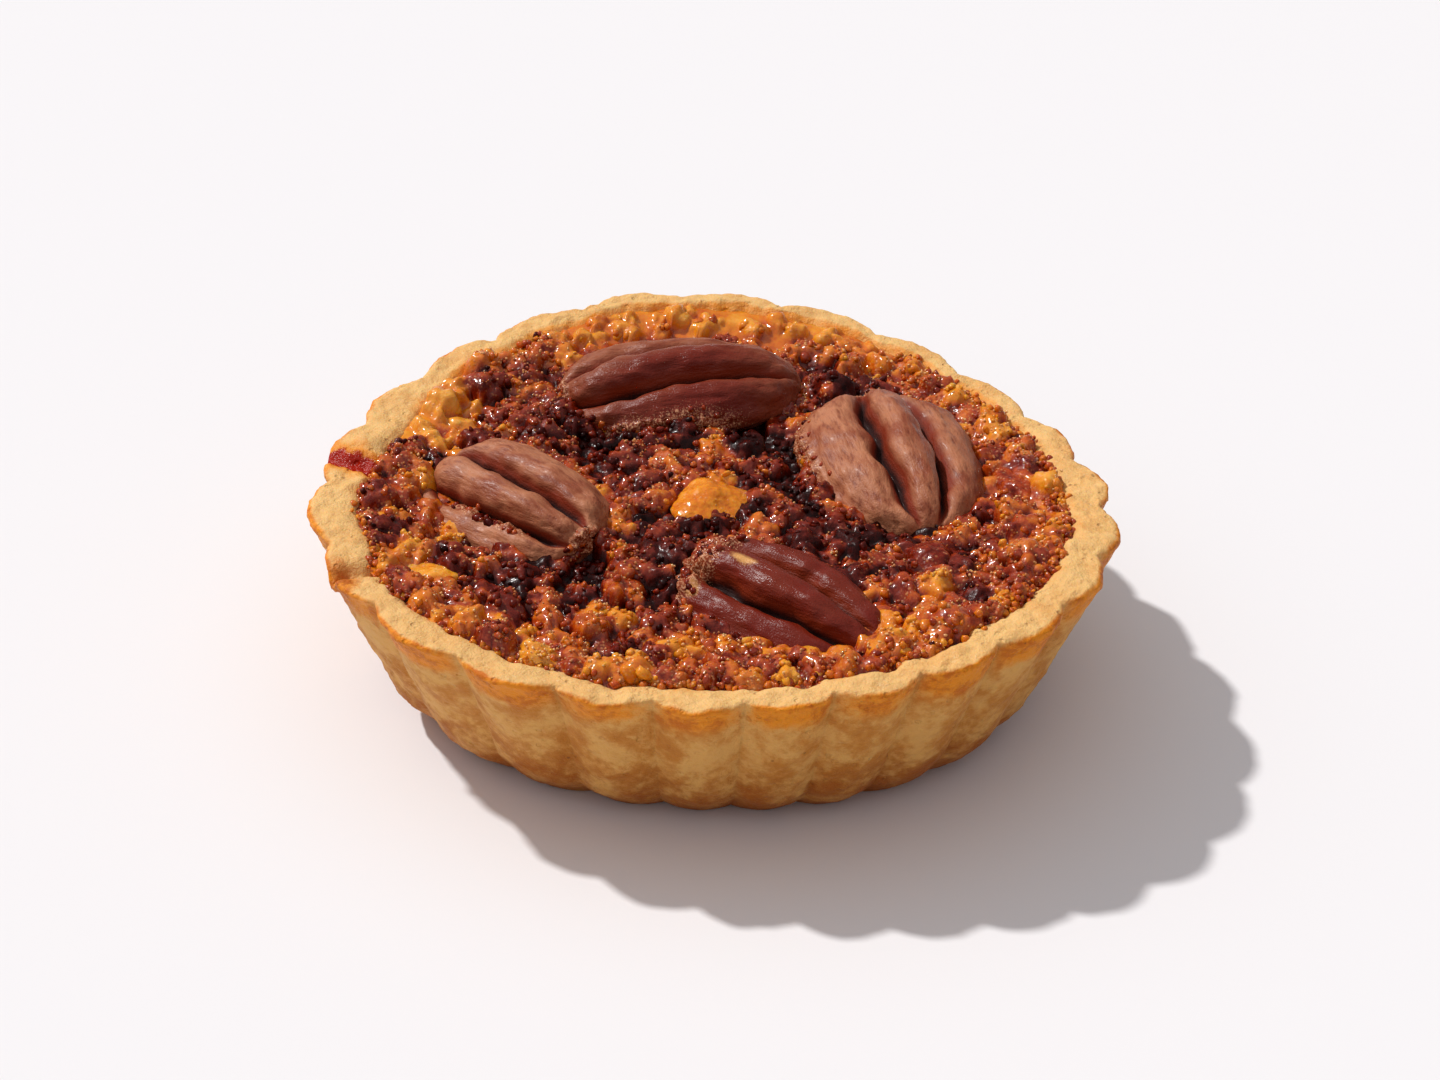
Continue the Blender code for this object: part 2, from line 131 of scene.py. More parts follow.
class NodeMaker:
    """Makes one material and its nodes."""

    def __init__(self, name: str) -> None:
        """Starts a material of this name, with a Principled shader."""
        self.material = bpy.data.materials.new(name)
        self.material.use_nodes = True
        self.tree = self.material.node_tree

    def add(self, kind: str, settings: Optional[dict[str, Any]] = None, inputs: Optional[dict] = None) -> Any:
        """Adds a node.

        Args:
            kind: the node's type.
            settings: its properties, set first. "stops" is a ramp's list of places and colours.
            inputs: values, links or Values by socket name or number.

        Returns:
            The node.
        """
        node = self.tree.nodes.new(kind)
        for key, value in (settings or {}).items():
            if key == "stops":
                self._set_stops(node.color_ramp.elements, value)
            else:
                setattr(node, key, value)
        for key, value in (inputs or {}).items():
            self.feed(node.inputs[key], value)
        return node

    def feed(self, socket: bpy.types.NodeSocket, value: Any) -> None:
        """Sets or links a socket.

        Args:
            socket: the input.
            value: a number, a colour, a Value or an output socket.
        """
        value = value.socket if isinstance(value, Value) else value
        if isinstance(value, bpy.types.NodeSocket):
            self.tree.links.new(value, socket)
        elif isinstance(value, tuple) and len(value) == 3 and socket.type == "RGBA":
            socket.default_value = (*value, 1.0)
        else:
            socket.default_value = value

    @staticmethod
    def _set_stops(elements: Any, stops: Sequence[tuple[float, Colour]]) -> None:
        """Gives a ramp its stops.

        Args:
            elements: the ramp's own stops.
            stops: places and colours, in order.
        """
        while len(elements) < len(stops):
            elements.new(1.0)
        for element, (place, colour) in zip(elements, stops):
            element.position, element.color = place, (*colour, 1.0)

    def value(self, kind: str, settings: dict[str, Any], inputs: dict, output: Any = 0) -> Value:
        """Adds a node and takes one of its outputs."""
        return Value(self, self.add(kind, settings, inputs).outputs[output])

    def place(self) -> bpy.types.NodeSocket:
        """Object coordinates, in metres."""
        return self.add("ShaderNodeTexCoord").outputs["Object"]

    def painted(self, name: str, output: str = "Fac") -> Value:
        """A number, or with "Vector" a vector, that the mesh carries in its points."""
        return self.value("ShaderNodeAttribute", {"attribute_name": name}, {}, output)

    def grain(self, size: float, detail: float = 2.0, rough: float = 0.5, at: Any = None) -> Value:
        """Cloudy noise, about 0.5 on average, read at Object coordinates where no place is given."""
        inputs = {"Vector": at or self.place(), "Scale": 1.0 / size, "Detail": detail, "Roughness": rough}
        return self.value("ShaderNodeTexNoise", {}, inputs)

    def cells(self, size: float) -> Value:
        """Distance to the nearest of scattered points, in shares of their spacing."""
        return self.value("ShaderNodeTexVoronoi", {}, {"Vector": self.place(), "Scale": 1.0 / size}, "Distance")

    def mix(self, share: Number, first: Any, second: Any) -> bpy.types.NodeSocket:
        """Mixes a share of a second colour into the first."""
        return self.add("ShaderNodeMix", {"data_type": "RGBA"}, {0: share, 6: first, 7: second}).outputs[2]

    def layers(self, colour: Any, *coats: tuple[Number, Any]) -> Any:
        """Lays coats over a colour, each a share and a colour of its own."""
        return functools.reduce(lambda under, coat: self.mix(coat[0], under, coat[1]), coats, colour)

    def ramp(self, share: Number, stops: Sequence[tuple[float, Colour]]) -> bpy.types.NodeSocket:
        """Turns a number into a colour along a ramp."""
        return self.add("ShaderNodeValToRGB", {"stops": stops}, {0: share}).outputs[0]

    def bump(self, height: Value, depth: float, strength: float) -> bpy.types.NodeSocket:
        """A normal with relief as deep as depth, in metres."""
        return self.add("ShaderNodeBump", {}, {"Height": height, "Distance": depth, "Strength": strength}).outputs[0]

    def finish(self, **sockets: Any) -> bpy.types.Material:
        """Feeds the shader's sockets, underscores standing for spaces, and returns the material."""
        for key, value in sockets.items():
            self.feed(self.tree.nodes["Principled BSDF"].inputs[key.replace("_", " ")], value)
        return self.material


@dataclass(frozen=True)
class PastryFinish:
    """Baked shortcrust: straw-coloured rim, tan wall with painted shade towards its foot, baked patches under the rim
    that also carry painted glow, with glaze and specks.
    """

    pale: Colour = (0.78, 0.47, 0.175)
    cream: Colour = (0.86, 0.60, 0.29)
    rim_tan: Colour = (0.70, 0.35, 0.105)
    wall: Colour = (0.56, 0.210, 0.030)
    wall_pale: Colour = (0.74, 0.385, 0.105)
    # darker brown for the painted shade towards the foot of the wall
    wall_low_shade: Colour = (0.38, 0.100, 0.008)
    # bright orange of the baked patches under the rim, partly real colour and partly painted glow of light through the
    # thin crust
    browned_and_glow: Colour = (0.80, 0.265, 0.010)
    baked: Colour = (0.58, 0.150, 0.006)
    amber: Colour = (0.78, 0.26, 0.010)
    toasted: Colour = (0.42, 0.100, 0.010)
    glaze: Colour = (0.36, 0.010, 0.0005)
    speck: Colour = (0.085, 0.028, 0.010)
    roughness: float = 0.60

    def material(self) -> bpy.types.Material:
        """Makes the material."""
        nodes = NodeMaker("baked_pastry")
        mottle = nodes.grain(4.6 * MM, 4.0, 0.62)
        fine = nodes.grain(0.95 * MM, 4.0, 0.65)
        flour = nodes.grain(0.24 * MM, 2.0, 0.6)
        top = nodes.layers(
            self.pale,
            ((mottle * 0.7 + fine * 0.45).step(0.46, 0.80), self.rim_tan),
            ((fine * 0.6 + flour * 0.4).step(0.54, 0.66) * 0.55, self.cream),
        )
        # painted shade: the wall darkens towards its foot, broken up by mottle
        low = nodes.painted("low") * 0.85 + (mottle - 0.5) * 1.6 + (fine - 0.5) * 0.7
        wall = nodes.layers(
            self.wall_pale,
            ((mottle * 0.8 + fine * 0.35).step(0.46, 0.68), self.wall),
            (low.step(0.05, 0.95), self.wall_low_shade),
            ((fine * 0.55 + flour * 0.45).step(0.555, 0.68) * 0.35, self.wall_pale),
        )
        # baked patches under the rim, partly real colour and partly painted glow
        brown = nodes.painted("browned_and_glow")
        edge = (brown + (mottle - 0.5) * 0.8 + (fine - 0.5) * 0.5).step(0.06, 0.62)
        burnt = nodes.mix((mottle * 0.6 + fine * 0.5).step(0.50, 0.66), self.browned_and_glow, self.baked)
        stained = (nodes.painted("amber") + (mottle - 0.5) * 0.5 + (fine - 0.5) * 0.5).step(0.25, 0.8)
        dots = nodes.cells(2.3 * MM).step(0.085, 0.045) * mottle.step(0.5, 0.6)
        wet = (nodes.painted("glaze") + (fine - 0.5) * 0.7 + (mottle - 0.5) * 0.4).step(0.15, 0.45)
        pores = nodes.cells(1.3 * MM).step(0.30, 0.10) * nodes.grain(3.0 * MM).step(0.46, 0.60)
        relief = nodes.grain(1.5 * MM, 3.0, 0.6) * 0.45 + fine * 0.35 + flour * 0.2 - pores * 0.30
        colour = nodes.layers(
            top,
            (nodes.painted("side"), wall),
            (edge * brown.step(0.02, 0.12), burnt),
            (stained, self.amber),
            ((nodes.painted("toasted") * fine.step(0.30, 0.58)).kept(), self.toasted),
            (dots * 0.55, self.speck),
            (nodes.painted("speck").step(0.4, 0.7), self.speck),
            (wet, self.glaze),
        )
        return nodes.finish(
            Base_Color=colour,
            Roughness=(1.0 - (wet + stained * 0.5 + edge * 0.2).kept() * 0.66) * self.roughness,
            Normal=nodes.bump(relief, 0.75 * MM, 0.85), Specular_IOR_Level=0.20,
            Subsurface_Weight=0.18, Subsurface_Radius=(1.0, 0.45, 0.15), Subsurface_Scale=1.6 * MM,
        )


@dataclass(frozen=True)
class CaramelFinish:
    """Caramelised crumb: its colour follows the tone that the mesh carries, from burnt to golden, flecked with pale
    specks that are partly sugar and partly painted glints.
    """

    name: str = "caramel"
    stops: tuple[tuple[float, Colour], ...] = (
        (0.00, (0.012, 0.0008, 0.0005)), (0.14, (0.052, 0.0024, 0.0009)), (0.30, (0.170, 0.0095, 0.0010)),
        (0.46, (0.370, 0.0420, 0.0020)), (0.62, (0.600, 0.1350, 0.0040)), (0.78, (0.730, 0.2350, 0.0060)),
        (0.90, (0.790, 0.3300, 0.0300)), (1.00, (0.840, 0.4800, 0.1600)),
    )
    # pale specks: sugar granules, and painted glints where highlights would sparkle
    sugar: Colour = (0.74, 0.35, 0.14)
    roughness: float = 0.30
    coat: float = 0.75
    subsurface: float = 0.25
    relief: float = 0.12 * MM

    def material(self) -> bpy.types.Material:
        """Makes the material."""
        nodes = NodeMaker(self.name)
        cloud = nodes.grain(1.6 * MM, 3.0, 0.6)
        fine = nodes.grain(0.36 * MM, 3.0, 0.62)
        clear = nodes.painted("clear")
        tone = nodes.painted("tone") + (cloud - 0.5) * 0.45 + (fine - 0.5) * 0.26 * (1.0 - clear)
        # painted glints, partly sugar: pale specks mixed into the colour, kept off dark and clear parts
        glints_and_sugar = nodes.cells(0.46 * MM).step(0.42, 0.16) * nodes.grain(2.0 * MM, 2.0).step(0.44, 0.58)
        glints_and_sugar = glints_and_sugar * tone.step(0.16, 0.40) * (1.0 - clear)
        relief = (fine * 0.5 + nodes.cells(0.50 * MM) * 0.3 + glints_and_sugar * 0.4) * (1.0 - clear * 0.8)
        roughness = self.roughness + (cloud - 0.5) * 0.4 + (fine - 0.5) * 0.2 - clear * 0.15
        return nodes.finish(
            Base_Color=nodes.mix(glints_and_sugar * 0.48, nodes.ramp(tone.kept(), self.stops), self.sugar),
            Roughness=roughness.kept(), Normal=nodes.bump(relief, self.relief, 0.9), Specular_IOR_Level=0.10,
            Coat_Weight=tone.step(0.05, 0.50) * self.coat + 0.05, Coat_Roughness=0.10,
            Subsurface_Weight=self.subsurface, Subsurface_Radius=(1.0, 0.30, 0.06), Subsurface_Scale=1.4 * MM,
        )


@dataclass(frozen=True)
class SkinFinish:
    """Roasted pecan skin: soft pinkish brown, finely wrinkled along the nut, syrup-dark in the grooves, deepened there
    by painted shade.
    """

    dusty: Colour = (0.46, 0.175, 0.084)
    skin: Colour = (0.26, 0.062, 0.025)
    soaked: Colour = (0.150, 0.009, 0.002)
    shade: Colour = (0.11, 0.017, 0.007)
    # near-black painted shade deep in the grooves between the lobes
    groove_syrup_and_shade: Colour = (0.020, 0.002, 0.001)
    # syrup in the grooves, its darkness partly painted shade
    syrup: Colour = (0.20, 0.020, 0.003)
    flesh: Colour = (0.68, 0.34, 0.11)
    crust: Colour = (0.24, 0.036, 0.007)
    sugar: Colour = (0.66, 0.33, 0.18)

    def material(self) -> bpy.types.Material:
        """Makes the material."""
        nodes = NodeMaker("pecan_skin")
        local = nodes.painted("local", "Vector")
        along = nodes.value("ShaderNodeVectorMath", {"operation": "MULTIPLY"}, {0: local, 1: (0.25, 1.0, 1.0)})
        streaks = nodes.grain(0.8, 4.0, 0.60, along)
        patches = nodes.grain(4.5, 3.0, 0.55, local)
        wrinkles = nodes.grain(0.40, 3.0, 0.6, along)
        fine = nodes.grain(0.20, 2.0, 0.6, local)
        tone = patches * 0.65 + streaks * 0.35 + wrinkles * 0.12
        wet = nodes.painted("soaked") + (patches - 0.5) * 0.5
        # depth of the grooves between the lobes: carries syrup colour and painted shade
        depth = nodes.painted("groove_syrup_and_shade")
        chip = nodes.painted("chip") + (fine - 0.5) * 0.5 + (streaks - 0.5) * 0.9
        crumbs = (nodes.painted("crusted") + (fine - 0.5) * 0.9 + (patches - 0.5) * 0.5).step(0.32, 0.60)
        colour = nodes.layers(
            self.skin,
            (tone.step(0.42, 0.70), self.dusty),
            ((wrinkles * 0.5 + streaks * 0.5).step(0.47, 0.34) * 0.35, self.shade),
            (wet.step(0.15, 0.95), self.soaked),
            # syrup and painted shade, darkest deepest in the grooves
            ((depth + (streaks - 0.5) * 0.5).step(0.10, 0.50), self.syrup),
            ((depth + (fine - 0.5) * 0.3).step(0.50, 0.95), self.groove_syrup_and_shade),
            (chip.step(0.36, 0.95), self.flesh),
            (crumbs, nodes.mix(fine.step(0.44, 0.66), self.crust, self.sugar)),
        )
        roughness = 0.45 + (patches - 0.5) * 0.4 - wet.kept() * 0.22 - crumbs * 0.15 + depth * 0.4
        return nodes.finish(
            Base_Color=colour, Roughness=roughness.kept(), Specular_IOR_Level=0.22,
            Normal=nodes.bump(streaks * 0.35 + wrinkles * 0.40 + fine * 0.25, 0.30 * MM, 0.8),
            Coat_Weight=0.04, Coat_Roughness=0.20,
            Subsurface_Weight=0.06, Subsurface_Radius=(1.0, 0.35, 0.15), Subsurface_Scale=0.8 * MM,
        )


@dataclass(frozen=True)
class FlooringFinish:
    """Plain pale floor."""

    colour: Colour = (0.80, 0.79, 0.805)

    def material(self) -> bpy.types.Material:
        """Makes the material."""
        return NodeMaker("pale_floor").finish(Base_Color=self.colour, Roughness=0.9, Specular_IOR_Level=0.1)


class Clouds:
    """Smooth noise at many points at once, the same in every run."""

    def __init__(self, seed: int) -> None:
        """Draws the slopes of the noise from a seed."""
        draw = np.random.default_rng(seed)
        self.order = np.tile(draw.permutation(256), 2)
        slopes = draw.normal(size=(256, 3))
        self.slopes = slopes / np.linalg.norm(slopes, axis=1, keepdims=True)

    def __call__(self, points: Array, size: float, layers: int = 1) -> Array:
        """Reads the noise.

        Args:
            points: places, three numbers each.
            size: size of the clouds.
            layers: how many layers it has, each half as large and half as strong.

        Returns:
            About -0.7 to 0.7 for each point.
        """
        shares = [2.0**layer for layer in range(layers)]
        return sum(self._read(points * (share / size) + 17.3 * step) / share for step, share in enumerate(shares))

    def _read(self, points: Array) -> Array:
        """Reads one layer.

        Args:
            points: places, in clouds.

        Returns:
            A number for each.
        """
        cell = np.floor(points).astype(int)
        inside = points - cell
        eased = inside**3 * (inside * (inside * 6.0 - 15.0) + 10.0)
        total = np.zeros(len(points))
        for corner in itertools.product((0, 1), repeat=3):
            spot = (cell + corner) & 255
            index = self.order[self.order[self.order[spot[:, 0]] + spot[:, 1]] + spot[:, 2]]
            share = np.prod(np.where(corner, eased, 1.0 - eased), axis=1)
            total += share * np.sum(self.slopes[index] * (inside - corner), axis=1)
        return total


CLOUDS = Clouds(5)


def relief(points: Array, *rows: tuple[float, int, float]) -> Array:
    """Sum of noises, each a row of its size in millimetres, its layers and its strength in millimetres."""
    return sum(CLOUDS(points, size * MM, layers) * strength * MM for size, layers, strength in rows)


def smooth(value: Any, low: Any, high: Any) -> Any:
    """Smooth step from 0 at low to 1 at high, which may be the lower one."""
    share = np.clip((value - low) / (high - low), 0.0, 1.0)
    return share * share * (3.0 - 2.0 * share)


def bell(distance: Any, width: float) -> Any:
    """1 at no distance, falling to about a third at one width."""
    return np.exp(-((distance / width) ** 2))


def spots(x: Any, y: Any, z: Any = 0.0) -> Array:
    """Puts coordinates side by side, as noise reads them."""
    return np.stack(np.broadcast_arrays(np.atleast_1d(x), y, z), axis=-1).astype(float)


def round_spot(x: float, y: float, reach: float, turn: float) -> tuple[float, float]:
    """The plan point so far from another in a direction."""
    return x + reach * math.cos(turn), y + reach * math.sin(turn)


def away(points: Array, spot: tuple) -> Array:
    """How far points lie from a spot that is given in millimetres."""
    return np.linalg.norm(points - np.array(spot) * MM, axis=1)


def line_distance(x: Array, y: Array, line: tuple) -> Array:
    """Plan distance of points from a short line.

    Args:
        x, y: plan places, in metres.
        line: two ends, in millimetres.

    Returns:
        Metres.
    """
    (start_x, start_y), (end_x, end_y) = line
    run_x, run_y = end_x - start_x, end_y - start_y
    off_x, off_y = x / MM - start_x, y / MM - start_y
    share = np.clip((off_x * run_x + off_y * run_y) / (run_x**2 + run_y**2), 0.0, 1.0)
    return np.hypot(off_x - share * run_x, off_y - share * run_y) * MM


def oval_places(off_x: Array, off_y: Array, heading: float, length: float, width: float) -> tuple[Array, Array]:
    """Plan places along and across an oval.

    Args:
        off_x, off_y: how far from its middle they are.
        heading: the angle of its long side.
        length, width: half its sizes.

    Returns:
        Two shares, 1 at the ends and sides.
    """
    ahead = off_x * math.cos(heading) + off_y * math.sin(heading)
    return ahead / length, (off_y * math.cos(heading) - off_x * math.sin(heading)) / width


def paint(mesh: bpy.types.Mesh, name: str, values: Array) -> None:
    """Stores a number or a vector in each of a mesh's points.

    Args:
        mesh: the mesh.
        name: the attribute.
        values: one row a point.
    """
    kind, key = ("FLOAT_VECTOR", "vector") if np.ndim(values) == 2 else ("FLOAT", "value")
    layer = mesh.attributes.new(name, kind, "POINT")
    layer.data.foreach_set(key, np.ascontiguousarray(values, np.float32).ravel())


def read_rows(rows: Any, key: str, width: int = 3) -> Array:
    """Reads one property of a mesh's points or of their attribute.

    Args:
        rows: the points or the attribute's data.
        key: the property.
        width: how many numbers it has.

    Returns:
        One row a point.
    """
    flat = np.empty(width * len(rows), np.float32)
    rows.foreach_get(key, flat)
    return flat.reshape(-1, width).astype(float)


def move_points(mesh: bpy.types.Mesh, points: Array) -> None:
    """Gives a mesh's points new places."""
    mesh.vertices.foreach_set("co", np.ascontiguousarray(points, np.float32).ravel())
    mesh.update()


def write_mesh(bm: bmesh.types.BMesh, mesh: bpy.types.Mesh) -> bpy.types.Mesh:
    """Writes what was modelled into a mesh.

    Args:
        bm: what was modelled, freed afterwards.
        mesh: where it goes.

    Returns:
        The mesh.
    """
    bm.to_mesh(mesh)
    bm.free()
    return mesh


def link(name: str, data: Any) -> bpy.types.Object:
    """Puts an object in the scene.

    Args:
        name: its name.
        data: its mesh, light or camera.

    Returns:
        The object.
    """
    item = bpy.data.objects.new(name, data)
    bpy.context.scene.collection.objects.link(item)
    return item


def add_piece(mesh: bpy.types.Mesh, material: bpy.types.Material, node: str = "") -> None:
    """Makes a piece that rides on the tart, named as its mesh.

    Args:
        mesh: its mesh, in place.
        material: its finish.
        node: the solid that it stands for, if any.
    """
    mesh.materials.append(material)
    mesh.shade_smooth()
    piece = link(mesh.name, mesh)
    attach(piece, BODY)
    if node:
        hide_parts(node)
    LOG.info("%s: %d faces", mesh.name, len(mesh.polygons))


class Sheet:
    """A flat grid that is wrapped onto a shape."""

    weld = 0.002 * MM

    def __init__(self, name: str, columns: int, rows: int) -> None:
        """Makes the grid.

        Args:
            name: the mesh's name.
            columns, rows: its faces each way.
        """
        bm = bmesh.new()
        bmesh.ops.create_grid(bm, x_segments=columns, y_segments=rows, size=0.5)
        self.mesh = write_mesh(bm, bpy.data.meshes.new(name))
        self.across, self.along, _ = np.clip(read_rows(self.mesh.vertices, "co").T + 0.5, 0.0, 1.0)

    def wrap(self, points: Array, paints: dict[str, Array]) -> bpy.types.Mesh:
        """Moves the grid's points, merges those that meet and turns the faces outwards.

        Args:
            points: where the points go.
            paints: the numbers that they carry, by name.

        Returns:
            The mesh.
        """
        move_points(self.mesh, points)
        for name, values in paints.items():
            paint(self.mesh, name, values)
        bm = bmesh.new()
        bm.from_mesh(self.mesh)
        bmesh.ops.remove_doubles(bm, verts=bm.verts, dist=self.weld)
        bmesh.ops.recalc_face_normals(bm, faces=bm.faces)
        return write_mesh(bm, self.mesh)


@dataclass
class Cup:
    """The fluted pastry cup, in the same sizes and rules as its solid."""

    cusp_radius: float = 0.0413
    rim_height: float = 0.0206
    flutes: int = 23
    first_crease: float = math.radians(192.8)
    flute_depth: float = 0.0017
    foot_flute_share: float = 0.62
    inner_flute_share: float = 0.25
    flute_roundness: float = 0.85
    flute_start: float = 0.5
    flare: float = 0.187
    corner_height: float = 0.257
    corner_inset: float = 0.057
    corner_power: float = 1.84
    wall_thickness: float = 0.0033
    floor_thickness: float = 0.0035
    rim_round: float = 0.0007
    columns_per_flute: int = 32
    wall_rings: int = 62
    rim_rings: int = 26
    inner_rings: int = 12
    spacing_waves: tuple = ((1, -0.061, -0.157), (2, 0.024, -0.017))
    outline_waves: tuple = ((1, -0.029, 0.0), (2, 0.0, 0.008), (3, -0.029, 0.0), (4, 0.0, -0.003))
    rim_waves: tuple = ((2, -0.00078, 0.00033), (3, -0.00091, 0.0))
    # degrees, and millimetres of pale rim that show there
    rim_widths: tuple = (
        (0, 3.9), (20, 2.6), (42, 2.0), (75, 2.0), (105, 2.2), (130, 2.8), (150, 3.4), (164, 4.6), (176, 5.0),
        (186, 4.0), (203, 4.2), (211, 3.2), (232, 2.9), (255, 2.8), (285, 2.8), (308, 3.0), (320, 3.8),
        (334, 3.9), (348, 3.9),
    )
    leak: tuple = ((-42.3, 1.9), (-33.0, -2.2))
    leak_width: float = 1.35 * MM
    front_lift: float = 0.95 * MM
    # two ends, swell and width of the fold, the cracked flake and the crack behind it
    seams: tuple = (
        (((-38.6, -22.0), (-32.5, -20.2)), -1.5, 0.8),
        (((27.9, -24.6), (31.6, -18.4)), 1.0, 0.7),
        (((29.0, -24.6), (32.6, -18.6)), -1.5, 0.4),
    )
    # plan place, height and radius of the nubs beside the leak
    nubs: tuple = ((-38.6, 4.6, 0.7, 1.5), (-37.6, -3.6, 0.5, 1.2), (36.9, -13.2, 0.5, 1.4))
    toast: tuple = (-37.8, -23.2, 20.2)
    specks: tuple = ((41.5, 3.8, 20.3), (17.5, -35.9, 17.0), (-6.0, -37.6, 16.4), (24.6, -31.4, 16.2))
    seed: int = 7

    def wall_share(self, height_share: Any) -> Any:
        """Radius of the outer creases at a height, as a share of that at the rim."""
        corner = np.maximum(0.0, 1.0 - height_share / self.corner_height)
        return 1.0 - self.flare * (1.0 - height_share) - self.corner_inset * corner**self.corner_power

    @staticmethod
    def waves(angle: Any, rows: tuple) -> Any:
        """Sum of waves round the cup, each a row of its harmonic, sine and cosine."""
        return sum(sine * np.sin(count * angle) + cosine * np.cos(count * angle) for count, sine, cosine in rows)

    def rim_lift(self, angle: Any) -> Any:
        """How far the rim stands over its mean height in a direction."""
        return self.waves(angle, self.rim_waves) + self.front_lift * np.maximum(0.0, -np.sin(angle)) ** 2

    def phase(self, even: Any) -> Any:
        """Counts flutes round the cup from one of the creases."""
        return (even - self.first_crease) * self.flutes / (2.0 * math.pi)

    def thickness(self, angle: Any, height_share: Any) -> Any:
        """Thickness of the wall: even low down, and as wide as the rim that shows at the top.

        Args:
            angle: directions from the middle.
            height_share: heights, as shares of the rim's.

        Returns:
            Metres.
        """
        degrees, widths = zip(*self.rim_widths)
        width = np.interp(np.degrees(angle), degrees, widths, period=360.0) * MM
        ragged = 1.0 * MM * CLOUDS(spots(np.cos(angle) * 40.0, np.sin(angle) * 40.0), 3.4, 3)
        return self.wall_thickness + (width + ragged - self.wall_thickness) * smooth(height_share, 0.78, 0.99)

    def crease_reach(self, angle: Any, height_share: Any) -> Any:
        """How far from the middle the outer creases lie."""
        return self.cusp_radius * self.wall_share(height_share) * (1.0 + self.waves(angle, self.outline_waves))

    def inner_reach(self, angle: Any, height_share: Any) -> Any:
        """How far from the middle the inner face lies."""
        return self.crease_reach(angle, height_share) - self.thickness(angle, height_share)

    def section(self) -> Array:
        """Works out the wall's section.

        Returns:
            Rows of height, place across the wall (1 outside, 0 inside) and share of the radius, from under the
            middle to the inside middle.
        """
        top, curl, outer = self.rim_height, self.rim_round, self.rim_round / self.wall_thickness
        rows = [(0.0, 1.0, share) for share in (0.0, 0.35, 0.6, 0.8, 0.93)]
        rows += [((top - curl) * (ring / self.wall_rings) ** 1.1, 1.0, 1.0) for ring in range(self.wall_rings)]
        for ring in range(self.rim_rings + 1):
            across = ring / self.rim_rings
            out = max(0.0, 1.0 - across / outer)
            inside = max(0.0, 1.0 - (1.0 - across) / (1.6 * outer))
            drop = curl * (1.0 - math.sqrt(1.0 - out**2)) + 1.3 * curl * (1.0 - math.sqrt(1.0 - inside**2))
            rows.append((top - drop, 1.0 - across, 1.0))
        high, low = top - 1.3 * curl, 1.15 * self.floor_thickness
        rows += [(high + (low - high) * ring / self.inner_rings, 0.0, 1.0) for ring in range(1, self.inner_rings + 1)]
        return np.array(rows + [(self.floor_thickness, 0.0, share) for share in (0.9, 0.5, 0.0)])

    def lay(self, height: Array, across: Array, middle: Array, even: Array) -> tuple[Array, Array]:
        """Lays points of the section on the fluted cup.

        Args:
            height: their heights.
            across: 1 on the outer face, 0 inside.
            middle: share of the radius.
            even: their angles where the flutes are evenly spaced.

        Returns:
            The points and their angles.
        """
        angle = even + self.waves(even, self.spacing_waves)
        lobe = np.abs(np.sin(self.phase(even) * math.pi)) ** self.flute_roundness
        height_share = np.minimum(1.0, height / self.rim_height)
        wall = (1.0 - across) * self.thickness(angle, height_share)
        radius = middle * (self.crease_reach(angle, height_share) - wall)
        depth = self.flute_depth * (self.foot_flute_share + (1.0 - self.foot_flute_share) * height_share)
        flute = depth * lobe * (self.inner_flute_share + (1.0 - self.inner_flute_share) * across)
        reach = radius + flute * np.minimum(1.0, radius / (self.flute_start * self.cusp_radius))
        lifted = height + self.rim_lift(angle) * height_share**2
        return np.stack([reach * np.cos(angle), reach * np.sin(angle), lifted], axis=1), angle

    def from_leak(self, points: Array) -> Array:
        """How far points lie from the syrup that has run over the rim, by a wavering line."""
        waver = relief(points * (1.0, 1.0, 0.0), (2.2, 2, 0.9))
        return np.abs(line_distance(points[:, 0], points[:, 1], self.leak) + waver)

    def roughen(self, points: Array, height: Array, across: Array) -> Array:
        """Moves points by the dough's unevenness, the leak's channel, the fold and the cracked flake.

        Args:
            points: the smooth cup's points.
            height: their heights before the rim's waves.
            across: 1 on the outer face, 0 inside.

        Returns:
            The moved points.
        """
        x, y, top = points[:, 0], points[:, 1], self.rim_height
        on_top = smooth(height, top - 2.6 * MM, top - 0.7 * MM)
        out = points * (1.0, 1.0, 0.0)
        out /= np.maximum(1e-6, np.linalg.norm(out, axis=1, keepdims=True))
        nick = np.maximum(0.0, CLOUDS(points + 0.5, 3.4 * MM) - 0.28) * 1.1 * MM
        push = relief(points, (6.5, 1, 0.40), (2.1, 3, 0.26), (0.75, 2, 0.10))
        push += 0.22 * MM * bell(height - top + 0.5 * MM, 0.45 * MM) * across - nick * across * on_top
        push *= np.where(height < 0.6 * MM, 0.35, 1.0)
        rise = relief(points, (4.2, 2, 0.42), (1.4, 3, 0.30))
        rise -= 1.35 * MM * bell(self.from_leak(points), self.leak_width)
        for line, swell, width in self.seams:
            rise += swell * MM * bell(line_distance(x, y, line), width * MM)
        for nub_x, nub_y, swell, radius in self.nubs:
            rise += swell * MM * bell(np.hypot(x / MM - nub_x, y / MM - nub_y), radius)
        moved = points + out * push[:, None]
        moved[:, 2] = np.maximum(0.0, moved[:, 2] + rise * on_top)
        return moved

